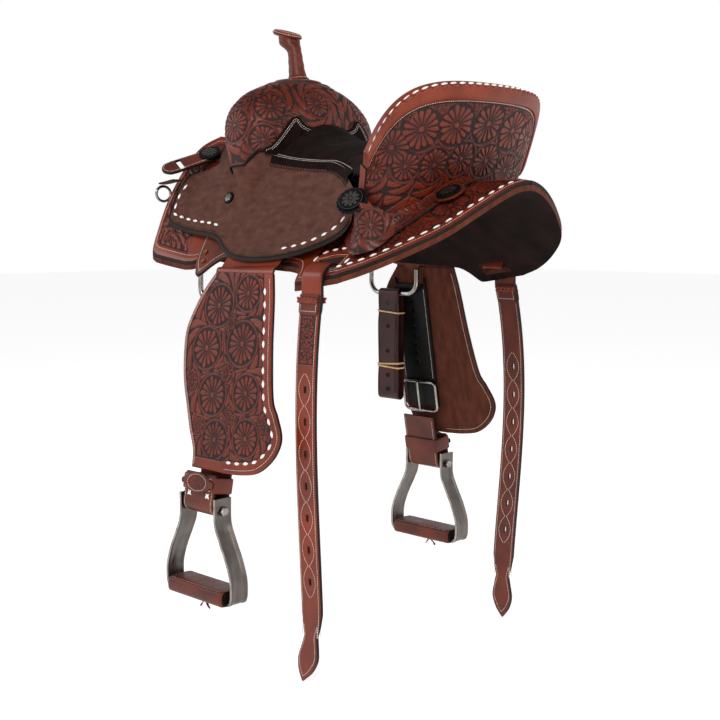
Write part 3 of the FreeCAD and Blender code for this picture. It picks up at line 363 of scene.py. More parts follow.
MATERIALS = {
    "tooled": tooled_leather(),
    "smooth": grained("chestnut_leather", dye(98, 38, 24), dye(124, 50, 30), dye(146, 64, 38)),
    "roll": grained("roll_leather", dye(136, 48, 24), dye(160, 62, 33), dye(178, 80, 46)),
    "saddle_lace": grained("saddle_lace", dye(130, 46, 28), dye(158, 60, 36), dye(176, 76, 48)),
    "black": grained("black_leather", dye(12, 11, 11), dye(19, 17, 17), dye(28, 25, 25), specular=0.12),
    "burgundy": grained("burgundy_leather", dye(60, 22, 24), dye(84, 33, 34), dye(104, 46, 44)),
    "ground": grained("ground_leather", dye(92, 62, 40), dye(120, 84, 56), dye(146, 108, 74)),
    "roughout": napped("roughout", dye(100, 64, 54), dye(130, 86, 74), 0.06, (1, 1, 1.8)),
    "fender_back": napped("fender_back", dye(100, 54, 42), dye(130, 74, 57), 0.05, (1.6, 1, 0.6)),
    "suede": napped("seat_suede", dye(22, 13, 12), dye(46, 30, 27), 0.02),
    "lining": napped("skirt_lining_suede", dye(22, 13, 12), dye(48, 30, 26), 0.02, scale=25),
    "edge": layered_edge(),
    "lace": plain_fibre("white_lace", srgb(205, 196, 190), srgb(248, 242, 238), 260, 0.55),
    "thread": plain_fibre("waxed_thread", srgb(150, 132, 122), srgb(226, 212, 202), 900, 0.6),
    "rubber": plain_fibre("tan_rubber", srgb(176, 138, 88), srgb(214, 178, 126), 300, 0.55),
    "steel": metal("nickel_steel", srgb(120, 117, 112), srgb(168, 164, 158), (0.16, 0.3), bump=0.03),
    "aluminium": metal("stirrup_metal", srgb(92, 85, 81), srgb(112, 105, 100), (0.3, 0.38), 40,
                       (2, 2, 0.8), 0.02),
    "polished": metal("polished_edge", srgb(120, 114, 108), srgb(168, 162, 156), (0.14, 0.28), bump=0.04),
    "copper": metal("copper", srgb(150, 74, 40), srgb(206, 116, 70), (0.25, 0.4)),
    "silver": antique_silver(),
    "wood": wood(),
}


# ---------------------------------------------------------------- meshes


def unit(vectors):
    """Vectors scaled to length one."""
    return vectors / np.linalg.norm(vectors, axis=-1, keepdims=True)


class Build:
    """Points, faces and a relief value per point, gathered before they become one mesh."""

    def __init__(self, *materials):
        self.materials = materials
        self.points = []
        self.relief = []
        self.faces = []
        self.slots = []
        self.count = 0

    def add(self, points, faces, slot=0, relief=1.0):
        points = np.asarray(points, float).reshape(-1, 3)
        self.points.append(points)
        self.relief.append(np.broadcast_to(relief, (len(points),)))
        self.faces += (np.asarray(faces) + self.count).tolist()
        self.slots += [slot] * len(faces)
        self.count += len(points)

    def make(self, name, side=1, sharp=55):
        points = np.concatenate(self.points) * MM
        faces = self.faces
        if side < 0:
            points = points * (1, -1, 1)
            faces = [face[::-1] for face in faces]
        mesh = bpy.data.meshes.new(name)
        mesh.from_pydata(points.tolist(), [], faces)
        mesh.polygons.foreach_set("material_index", self.slots)
        mesh.polygons.foreach_set("use_smooth", [True] * len(faces))
        relief = mesh.attributes.new("relief", "FLOAT", "POINT")
        relief.data.foreach_set("value", np.concatenate(self.relief).astype(np.float32))
        for word in self.materials:
            mesh.materials.append(MATERIALS[word])
        mesh.set_sharp_from_angle(angle=math.radians(sharp))
        item = bpy.data.objects.new(name, mesh)
        bpy.context.scene.collection.objects.link(item)
        return item


def grid_faces(rows, columns, wrap=False, flip=False):
    """Quads of a grid stored row after row; wrap joins the last column to the first."""
    row = np.arange(rows - 1)[:, None] * columns
    column = np.arange(columns if wrap else columns - 1)[None, :]
    after = (column + 1) % columns
    quads = np.stack([row + column, row + after, row + columns + after, row + columns + column], -1)
    quads = quads.reshape(-1, 4)
    return quads[:, ::-1] if flip else quads


def coords(*parts):
    """Points from their coordinates, each an array or one number for all."""
    return np.stack(np.broadcast_arrays(*parts), -1)


def travelled(line):
    """How far along a line each of its points is."""
    steps = np.linalg.norm(np.diff(line, axis=0), axis=1)
    return np.concatenate([[0.0], np.cumsum(steps)])


def respaced(points, spacing):
    """The same line with its points evenly spaced."""
    points = np.asarray(points, float)
    along = travelled(points)
    stations = np.linspace(0, along[-1], max(1, round(along[-1] / spacing)) + 1)
    return np.stack([np.interp(stations, along, points[:, k]) for k in range(points.shape[1])], -1)


def curve(points, spacing=FINE):
    """Evenly spaced points on a smooth line through the given ones; two make it straight."""
    points = np.asarray(points, float)
    if len(points) > 2:
        ends = np.vstack([2 * points[0] - points[1], points, 2 * points[-1] - points[-2]])
        t = np.linspace(0, 1, 20, endpoint=False)[:, None]
        spans = [0.5 * (2 * b + (c - a) * t + (2 * a - 5 * b + 4 * c - d) * t**2
                        + (3 * b - a - 3 * c + d) * t**3)
                 for a, b, c, d in zip(ends, ends[1:], ends[2:], ends[3:])]
        points = np.vstack([*spans, points[-1:]])
    return respaced(points, spacing)


def anticlockwise(outline):
    """The outline with its points in anticlockwise order."""
    x, y = outline.T
    area = np.sum(x * np.roll(y, -1) - y * np.roll(x, -1))
    return outline[::-1] if area < 0 else outline


def outline_of(strokes, spacing=FINE):
    """A closed outline, anticlockwise, from its stretches."""
    return anticlockwise(np.vstack([curve(stroke, spacing)[:-1] for stroke in strokes]))


def straight_sides(*corners):
    """The stretches of an outline with straight sides."""
    return [[here, there] for here, there in zip(corners, corners[1:] + corners[:1])]


def inside(points, outline):
    """Which points lie within a closed outline."""
    x, y = points.T
    found = np.zeros(len(points), bool)
    for (x0, y0), (x1, y1) in zip(outline, np.roll(outline, -1, axis=0)):
        if y0 == y1:
            continue
        crossed = (y0 > y) != (y1 > y)
        found ^= crossed & (x < (x1 - x0) * (y - y0) / (y1 - y0) + x0)
    return found


def distance_to(points, line):
    """Distance from each point to the nearest point of a dense line."""
    best = np.full(len(points), np.inf)
    for part in np.array_split(line, max(1, len(line) // 48)):
        gaps = ((points[:, None, :] - part[None]) ** 2).sum(-1).min(1)
        best = np.minimum(best, gaps)
    return np.sqrt(best)


def offset(line, distance):
    """A line moved sideways, to its left when distance is positive."""
    along = np.gradient(line, axis=0)
    along = unit(along)
    return line + coords(-along[:, 1], along[:, 0]) * distance


def inset(stroke, outline, distance, spacing=2.0):
    """A stretch of an outline moved inside it, clear of the edge everywhere."""
    line = curve(stroke, spacing) if len(stroke) < 60 else np.asarray(stroke)
    moved = offset(line, distance)
    if inside(moved, outline).mean() < 0.5:
        moved = offset(line, -distance)
    keep = inside(moved, outline) & (distance_to(moved, outline) > distance - 0.35)
    return respaced(moved[keep], spacing)


def triangulated(loops, grid):
    """Triangles that fill the first loop, less the other loops, through the grid's points."""
    points = np.vstack([*loops, grid])
    edges = []
    start = 0
    for loop in loops:
        count = len(loop)
        edges += [(start + k, start + (k + 1) % count) for k in range(count)]
        start += count
    found = delaunay_2d_cdt([Vector(p) for p in points.tolist()], edges, [], 0, 1e-5, True)
    origin = np.array([ids[0] for ids in found[3]])
    faces = origin[np.array([list(face) for face in found[2] if len(face) == 3])]
    middle = points[faces].mean(1)
    keep = inside(middle, loops[0])
    for hole in loops[1:]:
        keep &= ~inside(middle, hole)
    faces = faces[keep]
    a, b, c = points[faces[:, 0]], points[faces[:, 1]], points[faces[:, 2]]
    turn = (b[:, 0] - a[:, 0]) * (c[:, 1] - a[:, 1]) - (b[:, 1] - a[:, 1]) * (c[:, 0] - a[:, 0])
    faces[turn < 0] = faces[turn < 0][:, ::-1]
    return points, faces


def fill_points(loops, spacing):
    """Staggered points inside the first loop, clear of every loop, with their distance to it."""
    low, high = loops[0].min(0), loops[0].max(0)
    rows = np.arange(low[1], high[1], spacing * 0.87)
    columns = np.arange(low[0], high[0], spacing)
    x, y = np.meshgrid(columns, rows)
    x = x + (np.arange(len(rows)) % 2)[:, None] * spacing / 2
    grid = coords(x.ravel(), y.ravel())
    grid = grid[inside(grid, loops[0])]
    for hole in loops[1:]:
        grid = grid[~inside(grid, hole)]
    rim = distance_to(grid, np.vstack(loops))
    return grid[rim > 0.75 * spacing]


def blend_point(surface, a, b, side):
    """One point of a surface in metres, on its side of the saddle."""
    return tuple(surface(np.array([a]), np.array([b]))[0] * MM * (1, side, 1))


def normals_of(surface, a, b):
    """Unit normals of a surface at its own coordinates."""
    step = 0.6
    along = surface(a + step, b) - surface(a - step, b)
    across = surface(a, b + step) - surface(a, b - step)
    return unit(np.cross(along, across))


def flat_relief(spots, points):
    """Leather with nothing carved in it."""
    return np.ones(len(spots))


def panel(build, surface, outline, thickness, relief=flat_relief, holes=(), spacing=FINE,
          slots=(0, 1, 2), bevel=0.9, depth=TOOLING_DEPTH):
    """Leather cut to an outline and laid on a surface: face, rounded edge and back."""
    loops = [outline, *holes]
    rim_count = sum(len(loop) for loop in loops)
    spots, faces = triangulated(loops, fill_points(loops, spacing))
    a, b = spots.T
    points = surface(a, b)
    out = normals_of(surface, a, b)
    value = relief(spots, points)
    value[:rim_count] = 1.0
    drop = (value - 1) * depth
    drop[:rim_count] = -bevel
    build.add(points + out * drop[:, None], faces, slots[0], value)
    start = 0
    back_spots, back_faces = triangulated(loops, fill_points(loops, COARSE))
    back = surface(back_spots[:, 0], back_spots[:, 1], -thickness)
    build.add(back, back_faces[:, ::-1], slots[2])
    for loop in loops:
        count = len(loop)
        rim = slice(start, start + count)
        tangent = unit(np.roll(points[rim], -1, axis=0) - np.roll(points[rim], 1, axis=0))
        side = np.cross(tangent, out[rim])
        low = surface(a[rim], b[rim], -thickness)
        top = points[rim] - out[rim] * bevel
        rings = [top, top * 0.7 + low * 0.3 + side * 0.3, top * 0.3 + low * 0.7 + side * 0.3, low]
        build.add(np.vstack(rings), grid_faces(4, count, wrap=True, flip=True), slots[1], 0.6)
        start += count


def shell(build, outer, inner, wrap=False, slots=(0, 1, 2), relief=1.0):
    """A closed skin between two grids of points with the same rows and columns."""
    rows, columns = outer.shape[:2]
    relief = np.broadcast_to(relief, (rows, columns)).ravel()
    build.add(outer, grid_faces(rows, columns, wrap), slots[0], relief)
    build.add(inner, grid_faces(rows, columns, wrap, flip=True), slots[2])
    ends = [(outer[0], inner[0], False), (outer[-1], inner[-1], True)]
    if not wrap:
        ends += [(outer[:, 0], inner[:, 0], True), (outer[:, -1], inner[:, -1], False)]
    for near, far, flip in ends:
        build.add(np.vstack([far, near]), grid_faces(2, len(near), wrap, flip), slots[1], 0.6)


def tube(build, line, radius, slot=0, sides=8, closed=False, relief=1.0, flat=1.0, up=(0, 0, 1)):
    """A round or flattened cord along a line; flat is its height as a share of its width."""
    line = np.asarray(line, float)
    along = np.roll(line, -1, axis=0) - np.roll(line, 1, axis=0)
    if not closed:
        along[0] = line[1] - line[0]
        along[-1] = line[-1] - line[-2]
    along = unit(along)
    reference = np.broadcast_to(np.asarray(up, float), line.shape)
    across = np.cross(along, reference)
    across = unit(across + 1e-6)
    lift = np.cross(across, along)
    radius = np.broadcast_to(radius, (len(line),))[:, None, None]
    angle = 2 * math.pi * np.arange(sides) / sides
    ring = (across[:, None] * np.cos(angle)[None, :, None]
            + lift[:, None] * np.sin(angle)[None, :, None] * flat)
    points = line[:, None] + ring * radius
    if closed:
        points = np.concatenate([points, points[:1]])
    build.add(points, grid_faces(len(points), sides, wrap=True), slot, relief)
    if not closed:
        caps = [list(range(sides))[::-1], [len(line) * sides - sides + k for k in range(sides)]]
        build.faces += (np.array(caps) + build.count - len(points) * sides).tolist()
        build.slots += [slot] * 2


# ---------------------------------------------------------------- stitches

# pitch, length, width, height, stations along, points round
THREAD = (3.7, 2.9, 1.0, 0.55, (-1, 0, 1), (0.45, 1, 0.45), 4)
LACE = (19.0, 11.5, 5.0, 1.5, (-1, -0.55, 0, 0.55, 1), (0.08, 0.72, 1, 0.72, 0.08), 8)


def stitches(build, line, out, kind, slot, start=0.5):
    """Short raised stitches along a line in space; out is the surface's normal along it."""
    pitch, length, width, height, stations, widths, sides = kind
    along = travelled(line)
    count = max(1, int(round(along[-1] / pitch)))
    gap = along[-1] / count
    places = (np.arange(count) + start) * gap
    places = places[places < along[-1]]

    def at(values, place):
        return np.stack([np.interp(place, along, values[:, k]) for k in range(3)], -1)

    centre = at(line, places)
    forward = unit(at(line, places + gap * 0.3) - at(line, places - gap * 0.3) + 1e-9)
    normal = unit(at(out, places))
    across = unit(np.cross(normal, forward))
    angle = 2 * math.pi * (np.arange(sides) + 0.5) / sides
    stations = np.array(stations)[:, None]
    widths = np.array(widths)[:, None]
    local = coords(np.broadcast_to(stations * length / 2, (len(stations), sides)),
                   widths * np.cos(angle) * width / 2,
                   widths * np.sin(angle) * height).reshape(-1, 3)
    points = (centre[:, None] + local[None, :, :1] * forward[:, None]
              + local[None, :, 1:2] * across[:, None] + local[None, :, 2:] * normal[:, None])
    size = len(local)
    skin = grid_faces(len(stations), sides, wrap=True)
    caps = np.array([list(range(sides))[::-1], list(range(size - sides, size))])
    starts = np.arange(len(places))[:, None, None] * size
    build.add(points, (skin[None] + starts).reshape(-1, 4), slot)
    build.faces += ((caps[None] + starts).reshape(-1, sides) + build.count - size * len(places)).tolist()
    build.slots += [slot] * (2 * len(places))


def stitch_row(build, surface, path, kind, slot, lift=0.1, start=0.5):
    """Stitches along a path given in a surface's own two coordinates."""
    path = respaced(path, 1.5)
    a, b = path.T
    stitches(build, surface(a, b, lift), normals_of(surface, a, b), kind, slot, start)


# ---------------------------------------------------------------- flower carving


def plant(surface, spots, petals=16):
    """Flowers standing on a surface, from (a, b, radius) in its own coordinates."""
    flowers = []
    for k, (a, b, radius) in enumerate(spots):
        a, b = np.array([float(a)]), np.array([float(b)])
        normal = normals_of(surface, a, b)[0]
        along = surface(a + 1, b)[0] - surface(a - 1, b)[0]
        along = unit(along - normal * (along @ normal))
        flowers.append({"centre": surface(a, b)[0], "radius": radius, "along": along,
                        "across": np.cross(normal, along), "petals": petals - k % 3,
                        "turn": 0.7 * k, "spin": 1 if k % 2 else -1})
    return flowers


def petal_relief(rho, theta, flower):
    """A daisy: a button in the middle and narrow petals with rounded tips."""
    pitch = 2 * math.pi / flower["petals"]
    turned = theta + flower["turn"]
    leaf = np.floor(turned / pitch)
    across = 2 * (turned / pitch - leaf) - 1
    reach = 0.93 + 0.07 * np.sin(leaf * 2.4)
    out = rho / reach
    width = 0.58 + 0.26 * out
    tip = np.clip((out - 0.8) / 0.2, 0, 1)
    width = width * np.sqrt(1 - tip**2)
    body = np.sqrt(np.clip(1 - (across / np.maximum(width, 1e-3)) ** 2, 0, 1))
    rise = (0.35 + 0.65 * body) * (0.45 + 0.55 * np.clip(out * 1.5, 0, 1))
    petal = np.where(np.abs(across) < width, rise, 0)
    petal = petal - 0.4 * np.exp(-((across / 0.14) ** 2)) * (out > 0.32) * (out < 0.86)
    button = 0.45 + 0.5 * np.sqrt(np.clip(1 - (rho / 0.15) ** 2, 0, 1))
    ring = np.where(rho < 0.15, button, 0.12)
    return np.where(rho < 0.2, ring, np.clip(petal, 0, 1))


def vine_relief(rho, theta, flower, radius):
    """A stem ring round a flower, then long veined leaves that curl away from it."""
    spin = flower["spin"]
    stem = np.exp(-(((rho - 1.11) * radius / 1.7) ** 2))
    groove = (np.abs(rho - 1.11) * radius < 0.45) * 0.35
    reach = np.log(np.maximum(rho, 1.2) / 1.2) / 0.52
    tier = np.floor(reach)
    place = reach - tier
    count = 8 + 3 * tier
    sweep = count * theta / (2 * math.pi) + spin * (1.25 * place + 0.4 * tier) + flower["turn"]
    across = 2 * (sweep - np.floor(sweep)) - 1
    width = 0.94 * np.sin(math.pi * np.clip(place * 0.9 + 0.08, 0, 1) ** 0.75) ** 0.55
    width = width * (1 - 0.1 * np.abs(np.sin(place * 14 + tier)))
    leaf = np.sqrt(np.clip(1 - (across / np.maximum(width, 1e-3)) ** 2, 0, 1))
    veins = 0.5 * np.exp(-((across / 0.1) ** 2))
    veins = veins + 0.35 * np.exp(-(((np.abs(across) - 0.48 * width) / 0.08) ** 2)) * (place > 0.25)
    body = np.where(np.abs(across) < width, np.clip(0.3 + 0.75 * leaf - veins, 0.08, 1), 0)
    return np.where(rho < 1.2, np.clip(stem - groove, 0, 1), body)


def carve(points, flowers):
    """Relief from 0, cut away, to 1, raised: each point belongs to its nearest flower."""
    nearest = np.full(len(points), np.inf)
    second = np.full(len(points), np.inf)
    relief = np.zeros(len(points))
    for flower in flowers:
        delta = points - flower["centre"]
        rho = np.linalg.norm(delta, axis=1) / flower["radius"]
        closer = rho < nearest
        second = np.where(closer, nearest, np.minimum(second, rho))
        nearest = np.where(closer, rho, nearest)
        theta = np.arctan2(delta @ flower["across"], delta @ flower["along"])
        vine = vine_relief(rho, theta, flower, flower["radius"])
        shape = np.where(rho < 1.0, petal_relief(rho, theta, flower), vine)
        relief = np.where(closer, shape, relief)
    meeting = np.clip((second - nearest) / 0.05, 0, 1)
    matting = 0.08 * np.sin(points @ (2.9, 1.3, 2.1)) * np.sin(points @ (-1.7, 2.6, 1.9))
    return np.clip(np.where(nearest > 1.02, relief * meeting, relief) + matting * (relief < 0.3), 0, 1)


def bordered(relief, room):
    """Carving that stops at a cut line, outside which the leather is smooth; room is how far in."""
    carved = np.where(room > 0, relief, 1.0)
    line = np.abs(room) < 0.9
    return np.where(line, 0.1, carved)


# ---------------------------------------------------------------- shape of the saddle, as in the CAD

SEAT_LIFT = 92
CANTLE_REACH = math.radians(80)
ROLL_WIDTH = 22
LACE_PITCH = 14.5
RIM_SCALE = 175
FENDER_TILT = math.radians(10)


def smooth(t):
    """A step from 0 to 1 with flat ends."""
    t = np.clip(t, 0, 1)
    return t * t * (3 - 2 * t)


def back_height(x, y):
    """Height of the horse's back under the skirts."""
    ridge = 62 + 158 * np.maximum(0, (x + 150) / 440) ** 2
    fall = 1.05 + 0.0020 * x + 3.3e-6 * x * x
    return ridge - fall * (np.hypot(y, 60) - 60)


def seat_edge(x):
    """How far out the seat's edge is at each station."""
    return 111.5 + 0.0485 * np.maximum(0, -61 - x) ** 1.5


def jockey_height(x, y):
    """Height under the seat jockey: it swells up towards the seat."""
    swell = 4 + 58 * smooth((255 - x) / 120)
    inner = seat_edge(x)
    outer = 198 - 0.00047 * (x - 10) ** 2
    t = np.clip((y - inner) / (outer - inner), 0, 1)
    return back_height(x, y) + 22 + swell * (1 - t) ** 1.5


def over(height, base):
    """A leather's upper face: a height over the (x, y) plane plus a base lift."""
    def surface(x, y, lift=0.0):
        return coords(x, y, height(x, y) + base + lift)
    return surface


LINING_TOP = over(back_height, -0.3)
SKIRT_TOP = over(back_height, 6)
PLATE_TOP = over(back_height, 12)
NECK_TOP = over(back_height, 18)
JOCKEY_TOP = over(jockey_height, 6)


FENDER_X = 25
FENDER_HALF = 2.5


def fender_face(along, down, lift=0.0):
    """A fender's outer face: along it forward, down it from its bend."""
    out = lift + FENDER_HALF
    return coords(FENDER_X + along, 209 + down * math.sin(FENDER_TILT) + out * math.cos(FENDER_TILT),
                  -66 - down * math.cos(FENDER_TILT) + out * math.sin(FENDER_TILT))


def rim_point(phi):
    """The cantle's rim, by angle from its middle to the near side."""
    fade = 1 - np.cos(phi)
    end_z = back_height(-190.0, seat_edge(-190.0)) + SEAT_LIFT
    return coords(-310 + 120 * fade, 183 * np.sin(phi), 202 + (end_z - 202) * fade**2.3)


def base_point(phi):
    """The cantle's foot, by the same angle."""
    fade = 1 - np.cos(phi)
    x = -236 + 60 * fade
    y = 166 * np.sin(phi)
    return coords(x, y, back_height(x, np.abs(y)) + 9 + 90 * fade**2)


def cantle_axes(phi):
    """From the cantle's foot to its rim, and forward through it."""
    rise = rim_point(phi) - base_point(phi)
    forward = coords(0.84 + 0 * phi, -0.35 * np.sin(phi), 0.45 + 0 * phi)
    return rise, unit(forward)


def cantle_face(along, down, lift=0.0):
    """The cantle's rear face: along the rim to the near side, and down from the rim."""
    phi = along / RIM_SCALE
    rise, forward = cantle_axes(phi)
    return rim_point(phi) - unit(rise) * np.asarray(down)[..., None] - forward * np.asarray(lift)[..., None]


def cantle_height(phi):
    """The cantle's height from foot to rim at an angle."""
    return np.linalg.norm(cantle_axes(phi)[0], axis=-1)


SKIRT_OUTLINE = [
    [(262, 62), (290, 88), (304, 120), (307, 150), (300, 178)],
    [(300, 178), (294, 188), (280, 191)],
    [(280, 191), (200, 191)],
    [(200, 191), (178, 188), (160, 180), (135, 175)],
    [(135, 175), (20, 178), (-50, 183)],
    [(-50, 183), (-72, 188), (-84, 198), (-92, 212)],
    [(-92, 212), (-97, 218), (-108, 219)],
    [(-108, 219), (-185, 218)],
    [(-185, 218), (-225, 206), (-270, 180), (-315, 140), (-338, 95), (-352, 50), (-359, 1)],
    [(-359, 1), (-290, 1)],
    [(-290, 1), (-230, 10), (-150, 22), (60, 24), (180, 36), (262, 62)],
]
SLOT = straight_sides((-168, 184), (-116, 184), (-116, 206), (-168, 206))
JOCKEY_OUTLINE = [
    [(250, 118), (268, 126), (279, 142), (277, 160)],
    [(277, 160), (273, 169), (262, 172)],
    [(262, 172), (210, 173), (168, 174), (140, 176), (120, 181), (104, 187), (70, 194),
     (20, 197), (-30, 196), (-70, 192), (-105, 186), (-140, 179), (-165, 174)],
    [(-165, 174), (-171, 172.5), (-168, 167.5)],
    [(-168, 167.5), (-155, 157.2), (-130, 140.6), (-107, 127.8), (-80, 117), (-58, 112.8)],
    [(-58, 112.8), (190, 112.8)],
    [(190, 112.8), (250, 118)],
]
PLATE_OUTLINE = [
    [(176, 114), (178, 160), (170, 190), (158, 203)],
    [(158, 203), (148, 206), (138, 202), (122, 190), (104, 183), (84, 185), (70, 194)],
    [(70, 194), (58, 201), (44, 203.5), (32, 198), (22, 186), (12, 114)],
    [(12, 114), (176, 114)],
]
FENDER_FRONT = [(68, 3), (94, 34), (115, 70), (126, 100), (125, 136), (117, 178),
                (102, 217), (87, 254), (72, 285), (69, 312)]
FENDER_FOOT = [(69, 312), (-10, 312)]
FENDER_REAR = [(-10, 312), (-50, 309), (-85, 301), (-112, 281), (-126, 258), (-126, 238),
               (-112, 212), (-98, 188), (-84, 118), (-74, 44), (-66, 3)]


# ---------------------------------------------------------------- skirts and jockeys


def skirt(word, side):
    """A tooled rear and front corner, with plain leather where the other leathers cover it."""
    outline = outline_of(SKIRT_OUTLINE)
    slot = outline_of(SLOT)
    flowers = plant(SKIRT_TOP, [
        (-222, 160, 25), (-283, 88, 29), (-252, 44, 24), (-318, 40, 22), (-196, 182, 20),
        (-222, 108, 24), (-318, 104, 17), (262, 140, 22), (282, 100, 14), (246, 104, 14),
        (-262, 140, 15), (-190, 50, 22), (-180, 120, 20), (262, 178, 12), (-336, 66, 12)])
    ring = slot_border()

    def relief(spots, points):
        x, y = spots.T
        rim = distance_to(spots, outline)
        spine = np.where(y < 60, y - 4, 99)
        room = np.minimum(np.minimum(rim - 17, spine), distance_to(spots, ring) * np.where(
            inside(spots, ring), -1, 1))
        front = np.where(x > 200, rim - 10, room)
        shown = (x < -100) | (x > 205)
        room = np.where(x > 0, front, room)
        return np.where(shown, bordered(carve(points, flowers), room), 1.0)

    build = Build("tooled", "edge", "fender_back", "lace", "thread")
    panel(build, SKIRT_TOP, outline, 6, relief, [slot], spacing=1.7)
    rear = np.vstack([curve(stroke, 2.0) for stroke in SKIRT_OUTLINE[7:9]])
    stitch_row(build, SKIRT_TOP, inset(rear, outline, 14.0), LACE, 3, 0.3)
    stitch_row(build, SKIRT_TOP, inset(outline[outline[:, 1] > 1.5], outline, 6.0), THREAD, 4)
    stitch_row(build, SKIRT_TOP, ring, LACE, 3, 0.3)
    stitch_row(build, SKIRT_TOP, offset_ring(slot, 5), THREAD, 4)
    item = build.make(f"skirt_leather_{word}", side)
    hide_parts(f"skirt_{word}")
    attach(item, "saddle")


def slot_border():
    """The line of lacing that turns over the billet's slot."""
    turn = [(-180, 202), (-184, 186), (-174, 173), (-142, 168), (-111, 173), (-103, 188), (-106, 203)]
    return curve(turn, 2.0)


def offset_ring(loop, distance):
    """A closed loop grown outwards, for a row of thread round a hole."""
    middle = loop.mean(0)
    grown = loop + unit(loop - middle) * distance
    return respaced(np.vstack([grown, grown[:1]]), 2.0)


def lining(word, side):
    """Black suede over wool: slightly puffed between its edges, with a bound rim."""
    outline = outline_of(SKIRT_OUTLINE, 2.5)
    slot = outline_of(SLOT, 2.5)
    build = Build("lining", "fender_back", "lining", "thread")
    panel(build, LINING_TOP, outline, 8.6, spacing=6, holes=[slot], bevel=0.3)
    item = build.make(f"skirt_lining_suede_{word}", side)
    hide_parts(f"skirt_lining_{word}")
    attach(item, "saddle")


def jockey(word, side):
    """Roughout leather with a black edge, laced along its front and rear lower edges."""
    outline = outline_of(JOCKEY_OUTLINE)
    build = Build("roughout", "edge", "fender_back", "lace", "black")

    def relief(spots, points):
        rim = distance_to(spots, outline)
        pull = 0.35 * np.sin(points[:, 0] / 47) * np.sin(points[:, 1] / 31)
        return 1 + np.clip(rim / 40, 0, 1) * pull

    panel(build, JOCKEY_TOP, outline, 6, relief, spacing=2.6, bevel=1.2, depth=1.6)
    front = np.vstack([curve(JOCKEY_OUTLINE[0][1:], 2.0), curve(JOCKEY_OUTLINE[1], 2.0),
                       curve(JOCKEY_OUTLINE[2][:4], 2.0)])
    stitch_row(build, JOCKEY_TOP, inset(front, outline, 8.5), LACE, 3, 0.3)
    rear = curve(JOCKEY_OUTLINE[2][-5:], 2.0)
    stitch_row(build, JOCKEY_TOP, inset(rear, outline, 8.5), LACE, 3, 0.3)
    lower = np.vstack([curve(stroke, 2.0) for stroke in JOCKEY_OUTLINE[:3]])
    for gap, radius in ((0.9, 1.1), (3.0, 0.35)):
        path = inset(lower, outline, gap)
        tube(build, JOCKEY_TOP(path[:, 0], path[:, 1], -0.4), radius, 4, 6)
    item = build.make(f"seat_jockey_roughout_{word}", side)
    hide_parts(f"seat_jockey_{word}")
    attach(item, "saddle")


# ---------------------------------------------------------------- swell and horn

SWELL_SECTIONS = [
    (30, 104, 30, 0.930), (55, 106, 40, 0.960), (80, 110, 50, 0.985), (109, 117, 58, 0.998),
    (137, 122, 63, 1.0), (165.5, 125, 65, 0.985), (194, 127, 62, 0.910), (217, 129, 54, 0.740),
    (234, 130, 42, 0.490), (243.5, 130, 28, 0.270),
]
SWELL_HALF = 143
SWELL_TOP = 243.5
SWELL_COVER = 3.5
HORN_BASE = np.array([131.0, 0.0, 249.4])
HORN_LEAN = math.radians(9)


def swell_face(theta, height, lift=0.0):
    """The fork's leather: theta from the near side towards the rear, and a height."""
    table = curve(SWELL_SECTIONS, 1.0)
    z = np.minimum(height, SWELL_TOP)
    centre, depth, share = (np.interp(z, table[:, 0], table[:, k]) for k in (1, 2, 3))
    over_top = np.clip((height - SWELL_TOP) / 6, 0, 1)
    shrink = 1 - 0.72 * over_top**3
    power = 2.7 - 0.4 * smooth((z - 165) / 52)
    cos, sin = np.cos(theta), np.sin(theta)
    x = centre - (depth + SWELL_COVER + lift) * shrink * np.copysign(np.abs(sin) ** (2 / power), sin)
    y = (SWELL_HALF * share + SWELL_COVER + lift) * shrink * np.copysign(np.abs(cos) ** (2 / power), cos)
    return coords(x, y, height + lift * over_top)


def swell_bottom(theta):
    """The lowest clear height of the cover at each angle: over the jockeys, the bars and the withers."""
    heights = np.arange(30.0, SWELL_TOP, 1.0)
    points = swell_face(theta[None, :], heights[:, None] + 0 * theta[None, :])
    x, y, z = points[..., 0], np.abs(points[..., 1]), points[..., 2]
    seat_side = (y > 112.2) & (z < jockey_height(x, y) + 6.5)
    bar_side = (y <= 112.2) & (z < back_height(x, y) + 27.8)
    withers = (y / 62) ** 2 + ((z - 78) / 88) ** 2 < 1
    blocked = seat_side | bar_side | withers
    last = len(heights) - 1 - np.argmax(blocked[::-1], axis=0)
    return np.where(blocked.any(0), heights[last] + 0.5, heights[0])


def swell_angles(spacing):
    """Angles round the fork at even steps of its girth."""
    dense = np.linspace(0, 2 * math.pi, 4000)
    line = swell_face(dense, 140 + 0 * dense)
    along = travelled(line)
    return np.interp(np.arange(0, along[-1], spacing), along, dense)


def swell_hem(theta):
    """Where the tooled cover stops and the roughout under it shows, above the lowest clear height."""
    turn = np.degrees(np.arctan2(np.sin(theta), np.abs(np.cos(theta))))
    hem = np.interp(turn, [-90, -58, -42, -23, 8, 31, 50, 90], [0, 30, 78, 98, 100, 122, 122, 122])
    return np.maximum(swell_bottom(theta), hem)


def swell_shell(build, theta, bottom, top, rows, sunk, relief, slots):
    """A leather over the fork between two heights; relief gives 0 to 1 at (angle, height, points)."""
    height = bottom[None] + (top - bottom)[None] * np.linspace(0, 1, rows)[:, None]
    angles = np.broadcast_to(theta, height.shape)
    outer = swell_face(angles, height, 1.0 - sunk)
    carved = relief(angles, height, outer)
    out = unit(np.cross(np.gradient(outer, axis=1), np.gradient(outer, axis=0)))
    outer = outer + out * ((carved - 1) * TOOLING_DEPTH)[..., None]
    inner = swell_face(angles, np.minimum(height, SWELL_TOP + 2), -3.2)
    shell(build, outer, inner, wrap=True, slots=slots, relief=carved)


